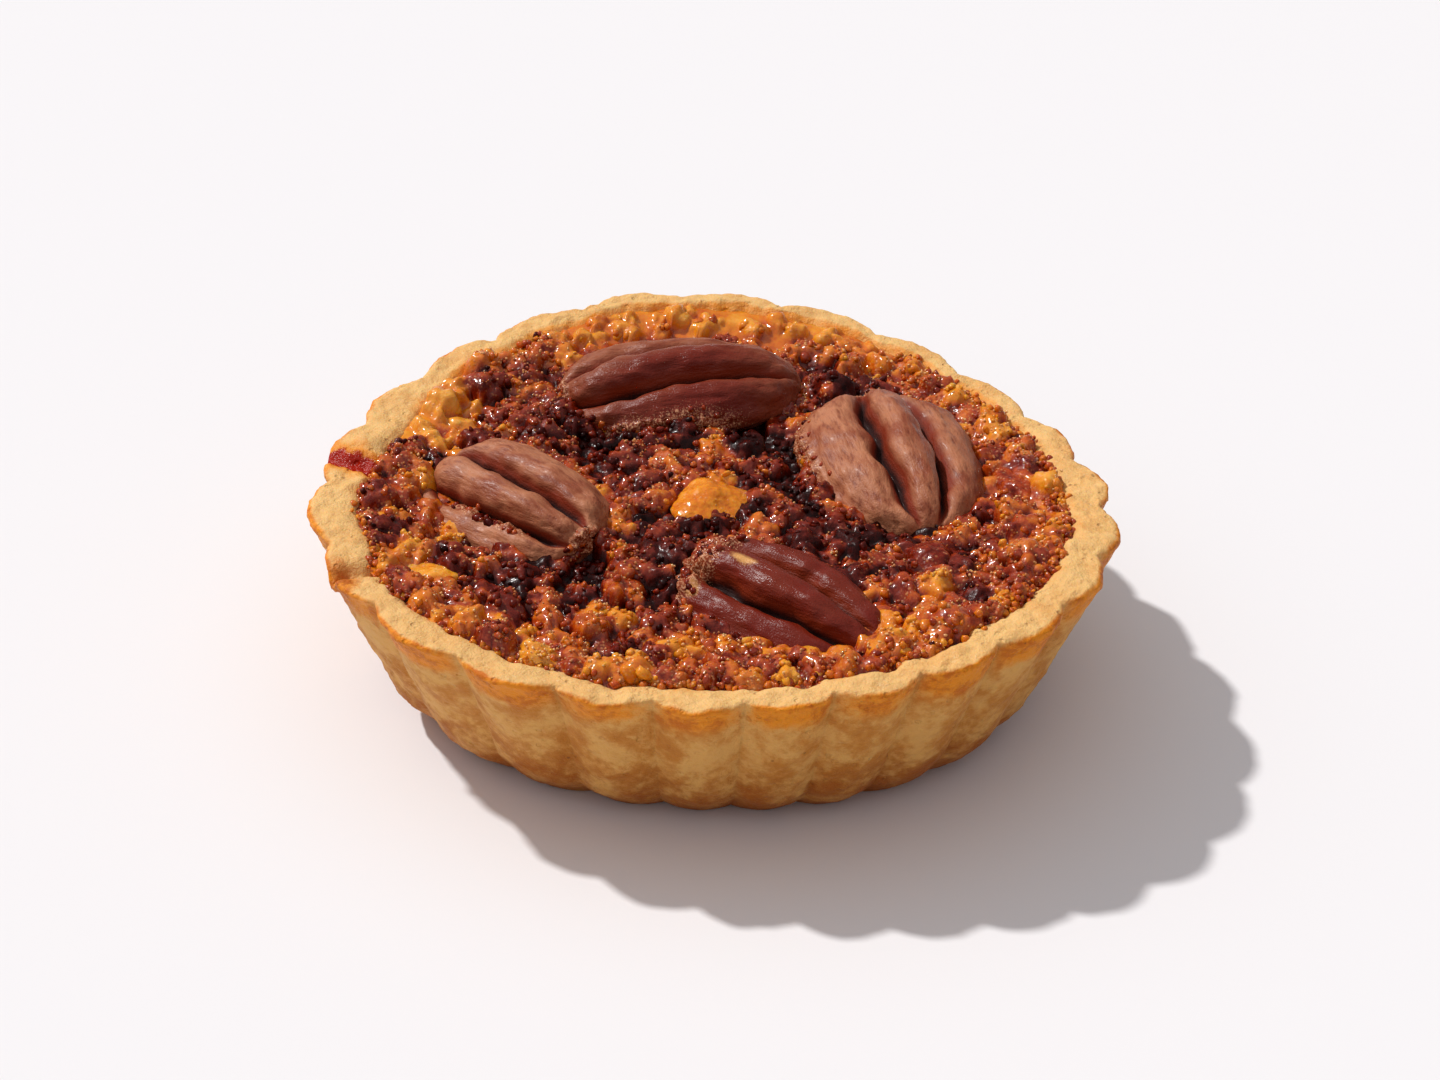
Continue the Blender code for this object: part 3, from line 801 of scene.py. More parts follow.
    def browning_and_glow(self, points: Array, even: Array, height: Array, across: Array) -> Array:
        """How baked-brown points are, the patch also painted brighter as glow of light through the thin crust: a patch
        under the rim on each flute.

        Args:
            points: where they are.
            even: their even angles.
            height: their heights on the smooth cup.
            across: 1 on the outer face.

        Returns:
            0 to 1.
        """
        phase = self.phase(even)
        strengths = np.random.default_rng(self.seed).uniform(0.6, 1.0, self.flutes)
        strength = np.abs(np.sin(phase * math.pi)) ** 0.5 * strengths[np.floor(phase).astype(int) % self.flutes]
        under = (self.rim_height - height) / MM + CLOUDS(points, 3.2 * MM, 2) * 0.8
        patch = smooth(under, -0.6, 0.1) * (1.0 - smooth(under, 1.2, 5.4)) * smooth(across, 0.80, 0.97)
        return np.clip(np.maximum(patch * strength, bell(away(points, self.toast), 2.6 * MM)) * across, 0.0, 1.0)

    def build(self) -> None:
        """Builds the crust and stands it for its solid."""
        section = self.section()
        sheet = Sheet("crust_shell", self.flutes * self.columns_per_flute, len(section) - 1)
        height, across, middle = section[np.rint(sheet.along * (len(section) - 1)).astype(int)].T
        even = self.first_crease + 2.0 * math.pi * sheet.across
        even[sheet.across > 0.99999] = self.first_crease
        smooth_points, angle = self.lay(height, across, middle, even)
        points = self.roughen(smooth_points, height, across)
        top, leak = self.rim_height, self.from_leak(points)
        on_top = smooth(height, top - 2.0 * MM, top - 0.5 * MM)
        inner_stain = (0.3 + 0.3 * smooth(np.sin(angle), 0.05, 0.75)) * smooth(across, 0.4, 0.1)
        paints = {
            "side": smooth(top - height, 0.05 * MM, 0.5 * MM) * across,
            # painted shade towards the foot of the wall, where the floor shades it
            "low": smooth(height, 0.62 * top, 0.02 * top),
            # baked patches under the rim, brightened as painted glow
            "browned_and_glow": self.browning_and_glow(smooth_points, even, height, across),
            "amber": np.maximum(inner_stain, bell(leak, 3.2 * MM)) * on_top,
            "glaze": bell(leak, 1.1 * self.leak_width) * on_top,
            "toasted": bell(away(points, self.toast), 2.0 * MM),
            "speck": np.max([bell(away(points, spot), 0.42 * MM) for spot in self.specks], axis=0),
        }
        add_piece(sheet.wrap(points, paints), PastryFinish().material(), "crust")


@dataclass(frozen=True)
class Patch:
    """A patch on a nut: place along it, degrees from its top, and how far it spreads both ways."""

    along: float
    degrees: float
    long: float
    wide: float

    def share(self, along: Array, meridian: Array) -> Array:
        """How strongly the patch shows at places on the nut, 0 to 1."""
        return bell(np.hypot((along - self.along) / self.long, (np.degrees(meridian) - self.degrees) / self.wide), 1.0)


@dataclass
class Nut:
    """A nut that lies in the filling: its solid's node, place, turns in degrees, and size in millimetres."""

    node: str
    place: tuple[float, float, float]
    turns: tuple[float, float, float]
    size: tuple[float, float, float]
    blunt: float

    def laid(self, points: Array) -> Array:
        """Turns and moves modelled points to where the nut lies."""
        turn = Euler([math.radians(angle) for angle in self.turns]).to_matrix()
        return points @ np.array(turn).T + np.array(self.place) * MM

    def outside(self, x: Array, y: Array) -> Array:
        """Measures how far plan points lie outside the nut's outline.

        Args:
            x, y: plan places.

        Returns:
            Metres, below zero inside it.
        """
        off_x, off_y = x - self.place[0] * MM, y - self.place[1] * MM
        length, width = (0.5 * side * MM for side in self.size[:2])
        ahead, aside = oval_places(off_x, off_y, math.radians(self.turns[2]), length, width)
        return ((np.abs(ahead) ** self.blunt + np.abs(aside) ** 2) ** 0.5 - 1.0) * width


@dataclass
class PecanHalf(Nut):
    """One pecan half, ridges up, in the same place, sizes and rules as its solid."""

    ridge: float
    lean: float
    bow: float
    twist: float = 0.0
    soaked: float = 0.0
    crusts: tuple[Patch, ...] = ()
    chips: tuple[Patch, ...] = ()
    soaks: tuple[Patch, ...] = ()
    meridians: int = 216
    rings: int = 150
    even_groove: float = 4.0 * math.pi / 28
    side_crest: float = math.radians(62.0)
    roundness: float = 0.24
    valley_depth: float = 0.30
    valley_width: float = 0.13
    end_taper: float = 0.10
    end_drop: float = 0.8
    belly_share: float = 0.42

    def lobes(self, meridian: Array, along: Array) -> tuple[Array, Array]:
        """How far down the side of its lobe a place is, and how deep in the valley beside it.

        Args:
            meridian: even angles, 0 on top.
            along: places along the nut, -1 to 1.

        Returns:
            Two numbers from 0 to 1.
        """
        wander = CLOUDS(spots(along * 1.9, np.sign(meridian) * 5.3, self.place[0]), 1.0, 2)
        off = np.abs(meridian) + 0.16 * wander * smooth(np.abs(meridian), 0.0, 0.35)
        side = np.minimum(0.0, off - self.side_crest) / (self.side_crest - self.even_groove)
        slope = np.clip(np.where(off < self.even_groove, off / self.even_groove, side) ** 2, 0.0, 1.0)
        return slope, bell(off - self.even_groove, self.valley_width)

    def surface(self, along: Array, meridian: Array) -> Array:
        """Points of the nut before it is laid, its middle ridge with its own width, lean, twist and bow.

        Args:
            along: places along the nut, -1 to 1.
            meridian: even angles, 0 on top.

        Returns:
            The points.
        """
        narrowing = math.radians(self.ridge) / self.even_groove - 1.0
        turned_by = np.radians(self.lean + self.twist * along + self.bow * along**2)
        around = meridian * (1.0 + narrowing * np.exp(-(meridian**2))) + turned_by * np.exp(-0.5 * meridian**2)
        taper = np.sqrt(np.maximum(0.0, 1.0 - np.abs(along) ** self.blunt)) * (1.0 - self.end_taper * along)
        length, width, height = (side * MM for side in self.size)
        fade = 1.0 - np.abs(along) ** 7
        slope, valley = self.lobes(meridian, along)
        carve = 1.0 - (self.roundness * slope + self.valley_depth * valley) * fade
        rise = np.where(np.cos(around) > 0.0, height, self.belly_share * height)
        fold = 0.09 * bell(np.abs(meridian) - 1.22 - 0.1 * np.sin(3.0 * along), 0.07) * fade
        aside = 0.5 * width * np.sin(around) * taper * (0.35 * carve + 0.65)
        return np.stack([0.5 * length * along, aside, rise * np.cos(around) * taper**self.end_drop * (carve - fold)], 1)

    @staticmethod
    def strongest(patches: Sequence[Patch], along: Array, meridian: Array) -> Array:
        """The strongest of some patches at each place."""
        shares = [patch.share(along, meridian) for patch in patches]
        return np.max(shares, axis=0) if shares else np.zeros(len(along))

    def build(self, material: bpy.types.Material) -> None:
        """Builds the nut and stands it for its solid.

        Args:
            material: the skin.
        """
        sheet = Sheet(self.node + "_nut", self.meridians, self.rings)
        along = np.cos(math.pi * (1.0 - sheet.along))
        meridian = 2.0 * math.pi * sheet.across - math.pi
        meridian[sheet.across > 0.99999] = -math.pi
        local = self.surface(along, meridian)
        paints = {
            # syrup and painted shade in the grooves between the lobes
            "groove_syrup_and_shade": self.lobes(meridian, along)[1] * (1.0 - along**8) * smooth(np.abs(meridian), 1.6, 1.3),
            "crusted": self.strongest(self.crusts, along, meridian),
            "chip": self.strongest(self.chips, along, meridian),
            "soaked": np.clip(self.soaked + 0.45 * self.strongest(self.soaks, along, meridian), 0.0, 1.0),
            "local": local / MM,
        }
        mesh = sheet.wrap(local, paints)
        points, out = read_rows(mesh.vertices, "co"), read_rows(mesh.vertices, "normal")
        crumbs = smooth(read_rows(mesh.attributes["crusted"].data, "value", 1)[:, 0], 0.25, 0.6)
        rise = relief(points * (0.30, 1.0, 1.0) + 0.1 * self.place[0], (1.5, 3, 0.30)) + relief(points, (3.4, 2, 0.42))
        rise += crumbs * (0.35 * MM + relief(points, (0.85, 2, 0.75)))
        move_points(mesh, self.laid(points + out * rise[:, None]))
        add_piece(mesh, material, self.node)

    def skin_point(self, along: float, meridian: float) -> Vector:
        """A point on the laid nut's skin."""
        return Vector(self.laid(self.surface(np.array([along]), np.array([meridian])))[0])


@dataclass
class NutPiece(Nut):
    """A broken nut piece under its glaze, in the same place and size as its solid."""

    number: int
    tone: float
    rise: float = 0.7
    faces: int = 10
    sharpness: float = 13.0

    def build(self, material: bpy.types.Material) -> None:
        """Builds the piece, a ball cut by a few soft planes, and stands it for its solid.

        Args:
            material: the glaze.
        """
        bm = bmesh.new()
        bmesh.ops.create_icosphere(bm, subdivisions=6, radius=1.0)
        mesh = write_mesh(bm, bpy.data.meshes.new(self.node + "_glazed"))
        ball = read_rows(mesh.vertices, "co")
        draw = np.random.default_rng(100 + self.number)
        planes = draw.normal(size=(self.faces, 3))
        planes /= np.linalg.norm(planes, axis=1, keepdims=True)
        cuts = np.maximum(0.0, ball @ planes.T) / draw.uniform(0.74, 0.98, self.faces)
        reach = (0.9**self.sharpness + np.sum(cuts**self.sharpness, axis=1)) ** (-1.0 / self.sharpness)
        points = ball * reach[:, None] * (np.array(self.size) * MM * (0.54, 0.54, self.rise))
        lumps = CLOUDS(points + self.number, 1.7 * MM, 3)
        move_points(mesh, self.laid(points + ball * (lumps * 0.34 * MM)[:, None]))
        paint(mesh, "tone", self.tone + 0.12 * lumps)
        add_piece(mesh, material, self.node)


@dataclass(frozen=True)
class Region:
    """A round region of the filling, in millimetres: where, how wide, how much lighter and how much higher."""

    x: float
    y: float
    radius: float
    tone: float
    height: float = 0.0

    def share(self, x: Array, y: Array) -> Array:
        """How strongly the region shows at plan points, 0 to 1."""
        return bell(np.hypot(x / MM - self.x, y / MM - self.y), self.radius)


class Terrain:
    """Maps of the filling's face on a fine square grid, and the domes heaped on it."""

    def __init__(self, half: float, cell: float) -> None:
        """Lays out the grid from half its side and its spacing."""
        self.half, self.cell = half, cell
        axis = np.arange(-half, half + cell, cell)
        self.x, self.y = np.meshgrid(axis, axis)
        self.height, self.tone = np.zeros_like(self.x), np.zeros_like(self.x)

    def heap(self, x: float, y: float, z: float, radius: float, tone: float, turn: float, squat: float) -> None:
        """Heaps one oval dome on the grid.

        Args:
            x, y: its middle.
            z: the height of its widest level.
            radius: its radius.
            tone: its tone.
            turn: the angle of its long side.
            squat: its height as a share of its radius.
        """
        reach = int(1.2 * radius / self.cell) + 1
        column, row = int((x + self.half) / self.cell), int((y + self.half) / self.cell)
        part = (slice(max(0, row - reach), row + reach + 2), slice(max(0, column - reach), column + reach + 2))
        ahead, aside = oval_places(self.x[part] - x, self.y[part] - y, turn, 1.15 * radius, 0.87 * radius)
        inside = 1.0 - ahead**2 - aside**2
        dome = z + squat * radius * np.sqrt(np.maximum(0.0, inside))
        higher = (inside > 0.0) & (dome > self.height[part])
        self.height[part] = np.where(higher, dome, self.height[part])
        self.tone[part] = np.where(higher, tone, self.tone[part])

    @staticmethod
    def blurred(values: Array, cells: int) -> Array:
        """Averages a map.

        Args:
            values: the map.
            cells: how many cells it reaches each way.

        Returns:
            The smoother map.
        """
        for axis in (0, 1):
            padded = np.pad(values, [(cells, cells) if side == axis else (0, 0) for side in (0, 1)], mode="edge")
            size = values.shape[axis]
            shifted = [np.take(padded, range(step, step + size), axis) for step in range(2 * cells + 1)]
            values = sum(shifted) / (2 * cells + 1)
        return values

    def read(self, values: Array, x: Array, y: Array) -> Array:
        """Reads a map between its points.

        Args:
            values: the map.
            x, y: plan places.

        Returns:
            The values there.
        """
        column, row = (np.clip((side + self.half) / self.cell, 0.0, len(values) - 1.001) for side in (x, y))
        left, low = np.floor(column).astype(int), np.floor(row).astype(int)
        right, up = column - left, row - low
        lower = values[low, left] * (1.0 - right) + values[low, left + 1] * right
        upper = values[low + 1, left] * (1.0 - right) + values[low + 1, left + 1] * right
        return lower * (1.0 - up) + upper * up

    def at(self, values: Array, x: float, y: float) -> float:
        """The value of a map's nearest point."""
        return float(values[round((y + self.half) / self.cell), round((x + self.half) / self.cell)])


class CrumbPile:
    """A joined mesh of many small things of one kind."""

    def __init__(self, name: str, subdivisions: int, roughness: float, seed: int, templates: int = 10) -> None:
        """Makes the few shapes that the pile repeats.

        Args:
            name: the piece's name.
            subdivisions: of each shape's ball.
            roughness: how lumpy a shape is, as a share of its radius.
            seed: of the random draw.
            templates: how many shapes there are.
        """
        self.name = name
        self.draw = random.Random(seed)
        self.crumbs: list[tuple[Vector, float, float, Matrix, int]] = []
        self.shapes = [self._shape(subdivisions, roughness, seed + number) for number in range(templates)]

    @staticmethod
    def _shape(subdivisions: int, roughness: float, seed: int) -> tuple[Array, Array]:
        """Models one lumpy ball of radius 1.

        Args:
            subdivisions: of the ball.
            roughness: how lumpy it is.
            seed: of its lumps.

        Returns:
            Its points and its triangles.
        """
        bm = bmesh.new()
        bmesh.ops.create_icosphere(bm, subdivisions=subdivisions, radius=1.0)
        points = np.array([vert.co for vert in bm.verts])
        faces = np.array([[vert.index for vert in face.verts] for face in bm.faces], np.int32)
        bm.free()
        lumps = CLOUDS(points + 5.3 * seed, 1.1) + 0.6 * CLOUDS(points - 3.7 * seed, 0.5)
        return points * (1.0 + roughness * lumps)[:, None], faces

    def lay(self, place: Vector, radius: float, tone: float) -> None:
        """Adds one thing.

        Args:
            place, radius, tone: its middle, its radius and its tone.
        """
        draw = self.draw
        stretch = Matrix.Diagonal((draw.uniform(0.9, 1.35), draw.uniform(0.75, 1.1), draw.uniform(0.65, 1.0)))
        turn = Euler([draw.uniform(-math.pi, math.pi) for _ in range(3)]).to_matrix()
        self.crumbs.append((place, radius, tone, turn @ stretch, draw.randrange(len(self.shapes))))

    def build(self, material: bpy.types.Material) -> None:
        """Joins the pile.

        Args:
            material: its finish.
        """
        points, faces, tones, count = [], [], [], 0
        for place, radius, tone, matrix, template in self.crumbs:
            shape, triangles = self.shapes[template]
            points.append(shape @ np.array(matrix).T * radius + np.array(place))
            faces.append(triangles + count)
            tones.append(np.full(len(shape), tone))
            count += len(shape)
        mesh = bpy.data.meshes.new(self.name)
        mesh.from_pydata(np.concatenate(points).tolist(), [], np.concatenate(faces).tolist())
        paint(mesh, "tone", np.concatenate(tones))
        add_piece(mesh, material)


REGIONS = tuple(Region(*row) for row in (
    (-13.6, -16.5, 3.8, -0.30, -1.8), (-19.4, -19.8, 3.6, -0.24, -1.5), (20.6, -7.4, 3.6, -0.26, -1.3),
    (5.0, 13.4, 3.4, -0.30, -1.6), (-12.4, 9.6, 4.2, -0.32, -1.8), (8.6, 3.4, 3.0, -0.26, -1.4),
    (9.0, 9.5, 3.0, -0.26, -1.4), (-3.4, 3.4, 3.4, 0.26, 0.5), (5.5, -8.5, 4.0, 0.05, 0.3),
    (-2.9, -8.8, 2.4, -0.16, 0.9), (31.0, 21.5, 3.0, 0.26, 0.2), (36.6, 2.9, 2.4, 0.22, 0.2),
    (-31.5, 12.0, 5.5, 0.16), (-31.0, -19.0, 4.5, 0.11), (-20.0, -28.0, 5.0, 0.14), (-30.0, -6.0, 5.0, 0.05),
    (2.0, -34.5, 5.0, 0.14), (20.0, -27.0, 5.0, 0.16), (33.0, -8.0, 5.0, 0.08), (-2.0, 14.0, 6.0, -0.12),
    (-26.8, -10.8, 5.0, 0.05, -1.3), (-21.3, 11.4, 2.8, -0.20, 0.6), (17.0, 20.0, 4.5, -0.04, 0.8),
))


@dataclass
class Filling:
    """The caramel filling: a craggy core, and the beads, crumbs and grains that lie on it."""

    cup: Cup
    nuts: Sequence[Nut]
    depth: float = 0.0013
    dome: float = 0.0005
    grid: int = 300
    edge_bury: float = 0.5 * MM
    lumps: int = 900
    pebbles: int = 1500
    crumbs_per_kind: int = 2100
    strewn: int = 3000
    edge_crumbs: int = 900
    grains: int = 6000
    brightest: float = 0.84
    seed: int = 11

    def __post_init__(self) -> None:
        """Heaps the face."""
        self.draw = random.Random(self.seed)
        self.turns = np.linspace(-math.pi, math.pi, 1441)
        self.reaches = self.cup.inner_reach(self.turns, 1.0) + self.edge_bury
        self.piles = {kind: CrumbPile(kind.value, 2, 0.6, 31 + 10 * index) for index, kind in enumerate(Crumb)}
        self.heads: list[tuple[float, float, float, float, float]] = []
        self.terrain = Terrain(0.0450, 0.15 * MM)
        x, y = self.terrain.x, self.terrain.y
        self.room = np.min([nut.outside(x, y) for nut in self.nuts], axis=0)
        angle = np.arctan2(y, x)
        share = np.hypot(x, y) / self.edge(angle)
        self.jelly = self._jelly(angle, share)
        self.base_height, self.base_tone = self._base(angle, share)
        self.terrain.height, self.terrain.tone = self.base_height.copy(), self.base_tone.copy()
        self._heap_lumps()
        self._heap_pebbles()
        self._soften_and_shade()

    def edge(self, angle: Any) -> Any:
        """How far from the middle the filling ends, a little inside the crust."""
        return np.interp(angle, self.turns, self.reaches)

    def noise(self, size: float, layers: int, lift: float = 0.0) -> Array:
        """Cloudy noise on the terrain's grid."""
        x, y = self.terrain.x, self.terrain.y
        return CLOUDS(spots(x.ravel(), y.ravel(), lift), size, layers).reshape(x.shape)

    def _jelly(self, angle: Array, share: Array) -> Array:
        """Maps the clear jelly along the back and left of the rim.

        Args:
            angle, share: direction of the map's points, and how near the edge they are.

        Returns:
            0 to 1.
        """
        degrees = np.degrees(angle)
        back = np.maximum(bell(degrees - 90.0, 34.0), bell(degrees - 157.0, 15.0))
        return smooth(back, 0.25, 0.6) * smooth(share + 0.16 * self.noise(4.0 * MM, 3), 0.80, 0.90)

    def _base(self, angle: Array, share: Array) -> tuple[Array, Array]:
        """Maps the face under its lumps.

        Args:
            angle, share: direction of the map's points, and how near the edge they are.

        Returns:
            Its height and its tone.
        """
        height = self.cup.rim_height - self.depth - 0.9 * MM + self.dome * np.maximum(0.0, 1.0 - share**2)
        height += self.cup.rim_lift(angle) * np.minimum(1.0, share) ** 2
        height += smooth(share, 0.80, 0.97) * (1.35 * MM + 0.35 * MM * self.jelly)
        height += 1.2 * MM * self.noise(5.0 * MM, 2) * (1.0 - 0.8 * self.jelly)
        tone = 0.27 + 0.20 * smooth(share, 0.45, 0.95) + 0.24 * self.jelly
        tone += 0.26 * self.noise(4.5 * MM, 2, 0.003)
        for region in REGIONS:
            near = region.share(self.terrain.x, self.terrain.y)
            height += region.height * MM * near
            tone += region.tone * near
        return height, tone

    def spot(self, inset: float) -> tuple[float, float]:
        """Draws a plan point inside the cup, so far from the filling's edge."""
        angle = self.draw.uniform(-math.pi, math.pi)
        return round_spot(0.0, 0.0, (float(self.edge(angle)) - inset) * math.sqrt(self.draw.random()), angle)

    def _heap_lumps(self) -> None:
        """Heaps lumps of beads on the face."""
        draw, at = self.draw, self.terrain.at
        for index in range(self.lumps):
            largest = (2.8 - 1.9 * (index / self.lumps) ** 0.4) * MM
            for _ in range(50):
                x, y = self.spot(0.5 * MM + 0.6 * largest)
                size = largest * (0.6 + 0.4 * float(smooth(at(self.base_tone, x, y), 0.0, 0.25)))
                clear = at(self.jelly, x, y) < 0.4 or draw.random() < 0.06
                clear = clear and at(self.room, x, y) > -0.3 * size
                if clear and all(math.hypot(x - a, y - b) > 0.72 * (size + r) for a, b, _, r, _ in self.heads):
                    self._heap_lump(x, y, size)
                    break

    def _heap_lump(self, x: float, y: float, radius: float) -> None:
        """Heaps one lump, a dome with beads on it.

        Args:
            x, y: its place.
            radius: its radius.
        """
        draw, terrain = self.draw, self.terrain
        tone = terrain.at(self.base_tone, x, y) + draw.gauss(0.0, 0.14) * (1.0 - terrain.at(self.jelly, x, y))
        z = terrain.at(self.base_height, x, y) + draw.uniform(-0.55, 0.15) * radius
        terrain.heap(x, y, z, radius, tone, draw.uniform(0.0, math.pi), 0.75)
        self.heads.append((x, y, z, radius, tone))
        for _ in range(2 + int(1.8 * radius / MM)):
            turn = draw.uniform(0.0, 2.0 * math.pi)
            out = radius * draw.uniform(0.2, 0.95)
            bead = radius * draw.uniform(0.35, 0.62)
            rise = 0.75 * math.sqrt(max(0.0, radius**2 - out**2)) - 0.35 * bead
            terrain.heap(*round_spot(x, y, out, turn), z + rise, bead, tone + draw.gauss(0.0, 0.07), turn, 0.95)

    def _heap_pebbles(self) -> None:
        """Heaps pebbles on and between the lumps."""
        draw, terrain = self.draw, self.terrain
        for _ in range(self.pebbles):
            x, y = self.spot(0.6 * MM)
            radius = draw.uniform(0.28, 0.62) * MM
            if terrain.at(self.jelly, x, y) < 0.4 * draw.random():
                z = terrain.at(terrain.height, x, y) - 0.45 * radius
                tone = terrain.at(terrain.tone, x, y) + draw.gauss(0.03, 0.07)
                terrain.heap(x, y, z, radius, tone, draw.uniform(0.0, math.pi), 0.9)

    def _soften_and_shade(self) -> None:
        """Softens the lumps as syrup does, paints shade into what lies deep between them and a touch of light onto
        their tops.
        """
        terrain = self.terrain
        terrain.height = 0.35 * terrain.height + 0.65 * terrain.blurred(terrain.height, 1)
        hollow = terrain.height - terrain.blurred(terrain.height, 8)
        terrain.tone = 0.5 * terrain.tone + 0.5 * terrain.blurred(terrain.tone, 1)
        # painted shade: darker where the face lies below its blurred height, a touch lighter where it stands above
        terrain.tone = np.clip(terrain.tone + np.clip(0.34 * hollow / MM, -0.36, 0.07), 0.0, self.brightest)

    def build_core(self, material: bpy.types.Material) -> None:
        """Builds the filling's own body, closed, down to the cup's floor.

        Args:
            material: the caramel.
        """
        terrain, sheet = self.terrain, Sheet("filling_core", self.grid, self.grid)
        flat_x, flat_y = 2.0 * sheet.across - 1.0, 2.0 * sheet.along - 1.0
        disc_x, disc_y = flat_x * np.sqrt(1.0 - 0.5 * flat_y**2), flat_y * np.sqrt(1.0 - 0.5 * flat_x**2)
        share, angle = np.hypot(disc_x, disc_y), np.arctan2(disc_y, disc_x)
        reach = share * self.edge(angle)
        x, y = reach * np.cos(angle), reach * np.sin(angle)
        inside = 1.0 - smooth(share, 0.93, 0.99)
        warped = [side + relief(spots(x, y, lift), (1.9, 2, 0.75)) * inside for side, lift in ((x, 0.01), (y, 0.02))]
        lift = terrain.read(terrain.height - self.base_height, x, y)
        clear = terrain.read(self.jelly, x, y) * (1.0 - smooth(lift, 0.1 * MM, 0.7 * MM))
        z = terrain.read(terrain.height, *warped)
        z += relief(spots(x, y, z), (0.7, 2, 0.18)) * (1.0 - clear)
        rim = self.cup.rim_height + self.cup.rim_lift(angle)
        z = np.where(share > 0.985, np.minimum(z, rim - 0.75 * MM), z)
        mesh = sheet.wrap(spots(x, y, z), {"tone": terrain.read(terrain.tone, *warped), "clear": clear})
        add_piece(self._closed(mesh), material, "filling")

    def _closed(self, mesh: bpy.types.Mesh) -> bpy.types.Mesh:
        """Draws the face's edge down along the cup's inner wall and closes it with a floor.

        Args:
            mesh: the open face.

        Returns:
            The same mesh, closed.
        """
        bm = bmesh.new()
        bm.from_mesh(mesh)
        rim = [edge for edge in bm.edges if edge.is_boundary]
        for height_share in (0.75, 0.5, 0.19):
            drawn = bmesh.ops.extrude_edge_only(bm, edges=rim)["geom"]
            rim = [item for item in drawn if isinstance(item, bmesh.types.BMEdge) and item.is_boundary]
            verts = list({vert for edge in rim for vert in edge.verts})
            angles = np.array([math.atan2(vert.co.y, vert.co.x) for vert in verts])
            reaches = self.cup.inner_reach(angles, height_share) + 0.2 * MM
            for vert, angle, reach in zip(verts, angles, reaches):
                vert.co = (*round_spot(0.0, 0.0, reach, angle), height_share * self.cup.rim_height)
        bmesh.ops.contextual_create(bm, geom=rim)
        bmesh.ops.recalc_face_normals(bm, faces=bm.faces)
        return write_mesh(bm, mesh)

    def scatter(self, finishes: dict[Crumb, bpy.types.Material], sugar: bpy.types.Material) -> None:
        """Lays beads on the lumps, crumbs between them and on the nuts, and sugar grains over all.

        Args:
            finishes: finish of each kind of crumb.
            sugar: the grains.
        """
        self._bead_lumps()
        self._crust_nuts()
        self._strew()
        self._line_edge()
        for kind, pile in self.piles.items():
            pile.build(finishes[kind])
        self._sugar().build(sugar)

    def _lay(self, place: Vector, radius: float, tone: float) -> None:
        """Lays one crumb in the pile of its tone, while that has room.

        Args:
            place, radius, tone: its middle, its radius and its tone.
        """
        tone = min(tone, self.brightest)
        pile = self.piles[list(Crumb)[int(np.searchsorted((0.26, 0.50, 0.70), tone))]]
        if len(pile.crumbs) < self.crumbs_per_kind:
            pile.lay(place, radius, tone)

    def _bead_lumps(self) -> None:
        """Lays beads on some of the lumps."""
        draw = self.draw
        for x, y, z, radius, tone in self.heads:
            for _ in range(int(2.0 * radius / MM) if draw.random() < 0.6 else 0):
                turn, rise = draw.uniform(0.0, 2.0 * math.pi), draw.uniform(0.1, 1.0)
                offset = Vector((*round_spot(0.0, 0.0, math.sqrt(1.0 - rise**2), turn), 0.75 * rise)) * radius
                size = draw.uniform(0.35, 0.35 + 0.32 * radius / MM) * MM
                place = Vector((x, y, z)) + offset * (draw.uniform(0.85, 1.02) - 0.3 * size / radius)
                if self.terrain.at(self.room, place.x, place.y) > -0.2 * MM:
                    self._lay(place, size, tone + draw.gauss(0.02, 0.09))

    def _crust_nuts(self) -> None:
        """Lays crumbs on the crusted patches of the pecan halves."""
        draw = self.draw
        for nut, patch in [(nut, patch) for nut in PECANS for patch in nut.crusts]:
            for _ in range(int(10.0 * patch.long * patch.wide)):
                along = max(-0.985, min(0.985, draw.gauss(patch.along, 0.42 * patch.long)))
                meridian = math.radians(draw.gauss(patch.degrees, 0.5 * patch.wide))
                size = draw.uniform(0.22, 0.55) * MM
                place = nut.skin_point(along, meridian) + Vector((0.0, 0.0, 0.25 * size))
                if place.z > 17.5 * MM:
                    self._lay(place, size, draw.gauss(0.34, 0.13))

    def _strew(self) -> None:
        """Strews crumbs over the whole face."""
        draw, terrain = self.draw, self.terrain
        for _ in range(self.strewn):
            x, y = self.spot(0.35 * MM)
            radius = draw.uniform(0.20, 0.48) * MM
            if terrain.at(self.room, x, y) > -0.3 * MM and terrain.at(self.jelly, x, y) < 0.5 * draw.random():
                z = terrain.at(terrain.height, x, y) + draw.uniform(-0.3, 0.35) * radius
                self._lay(Vector((x, y, z)), radius, terrain.at(terrain.tone, x, y) + draw.gauss(0.02, 0.09))

    def _line_edge(self) -> None:
        """Strews crumbs along the inside of the rim."""
        draw = self.draw
        for _ in range(self.edge_crumbs):
            angle = draw.uniform(-math.pi, math.pi)
            reach = float(self.edge(angle)) - self.edge_bury + draw.gauss(-0.25, 0.4) * MM
            radius = draw.uniform(0.20, 0.52) * MM
            z = self.cup.rim_height + self.cup.rim_lift(angle) - draw.uniform(0.15, 0.75) * MM
            place = Vector((*round_spot(0.0, 0.0, reach, angle), z))
            if self.terrain.at(self.jelly, place.x, place.y) < 0.3:
                self._lay(place, radius, draw.gauss(0.54, 0.12))

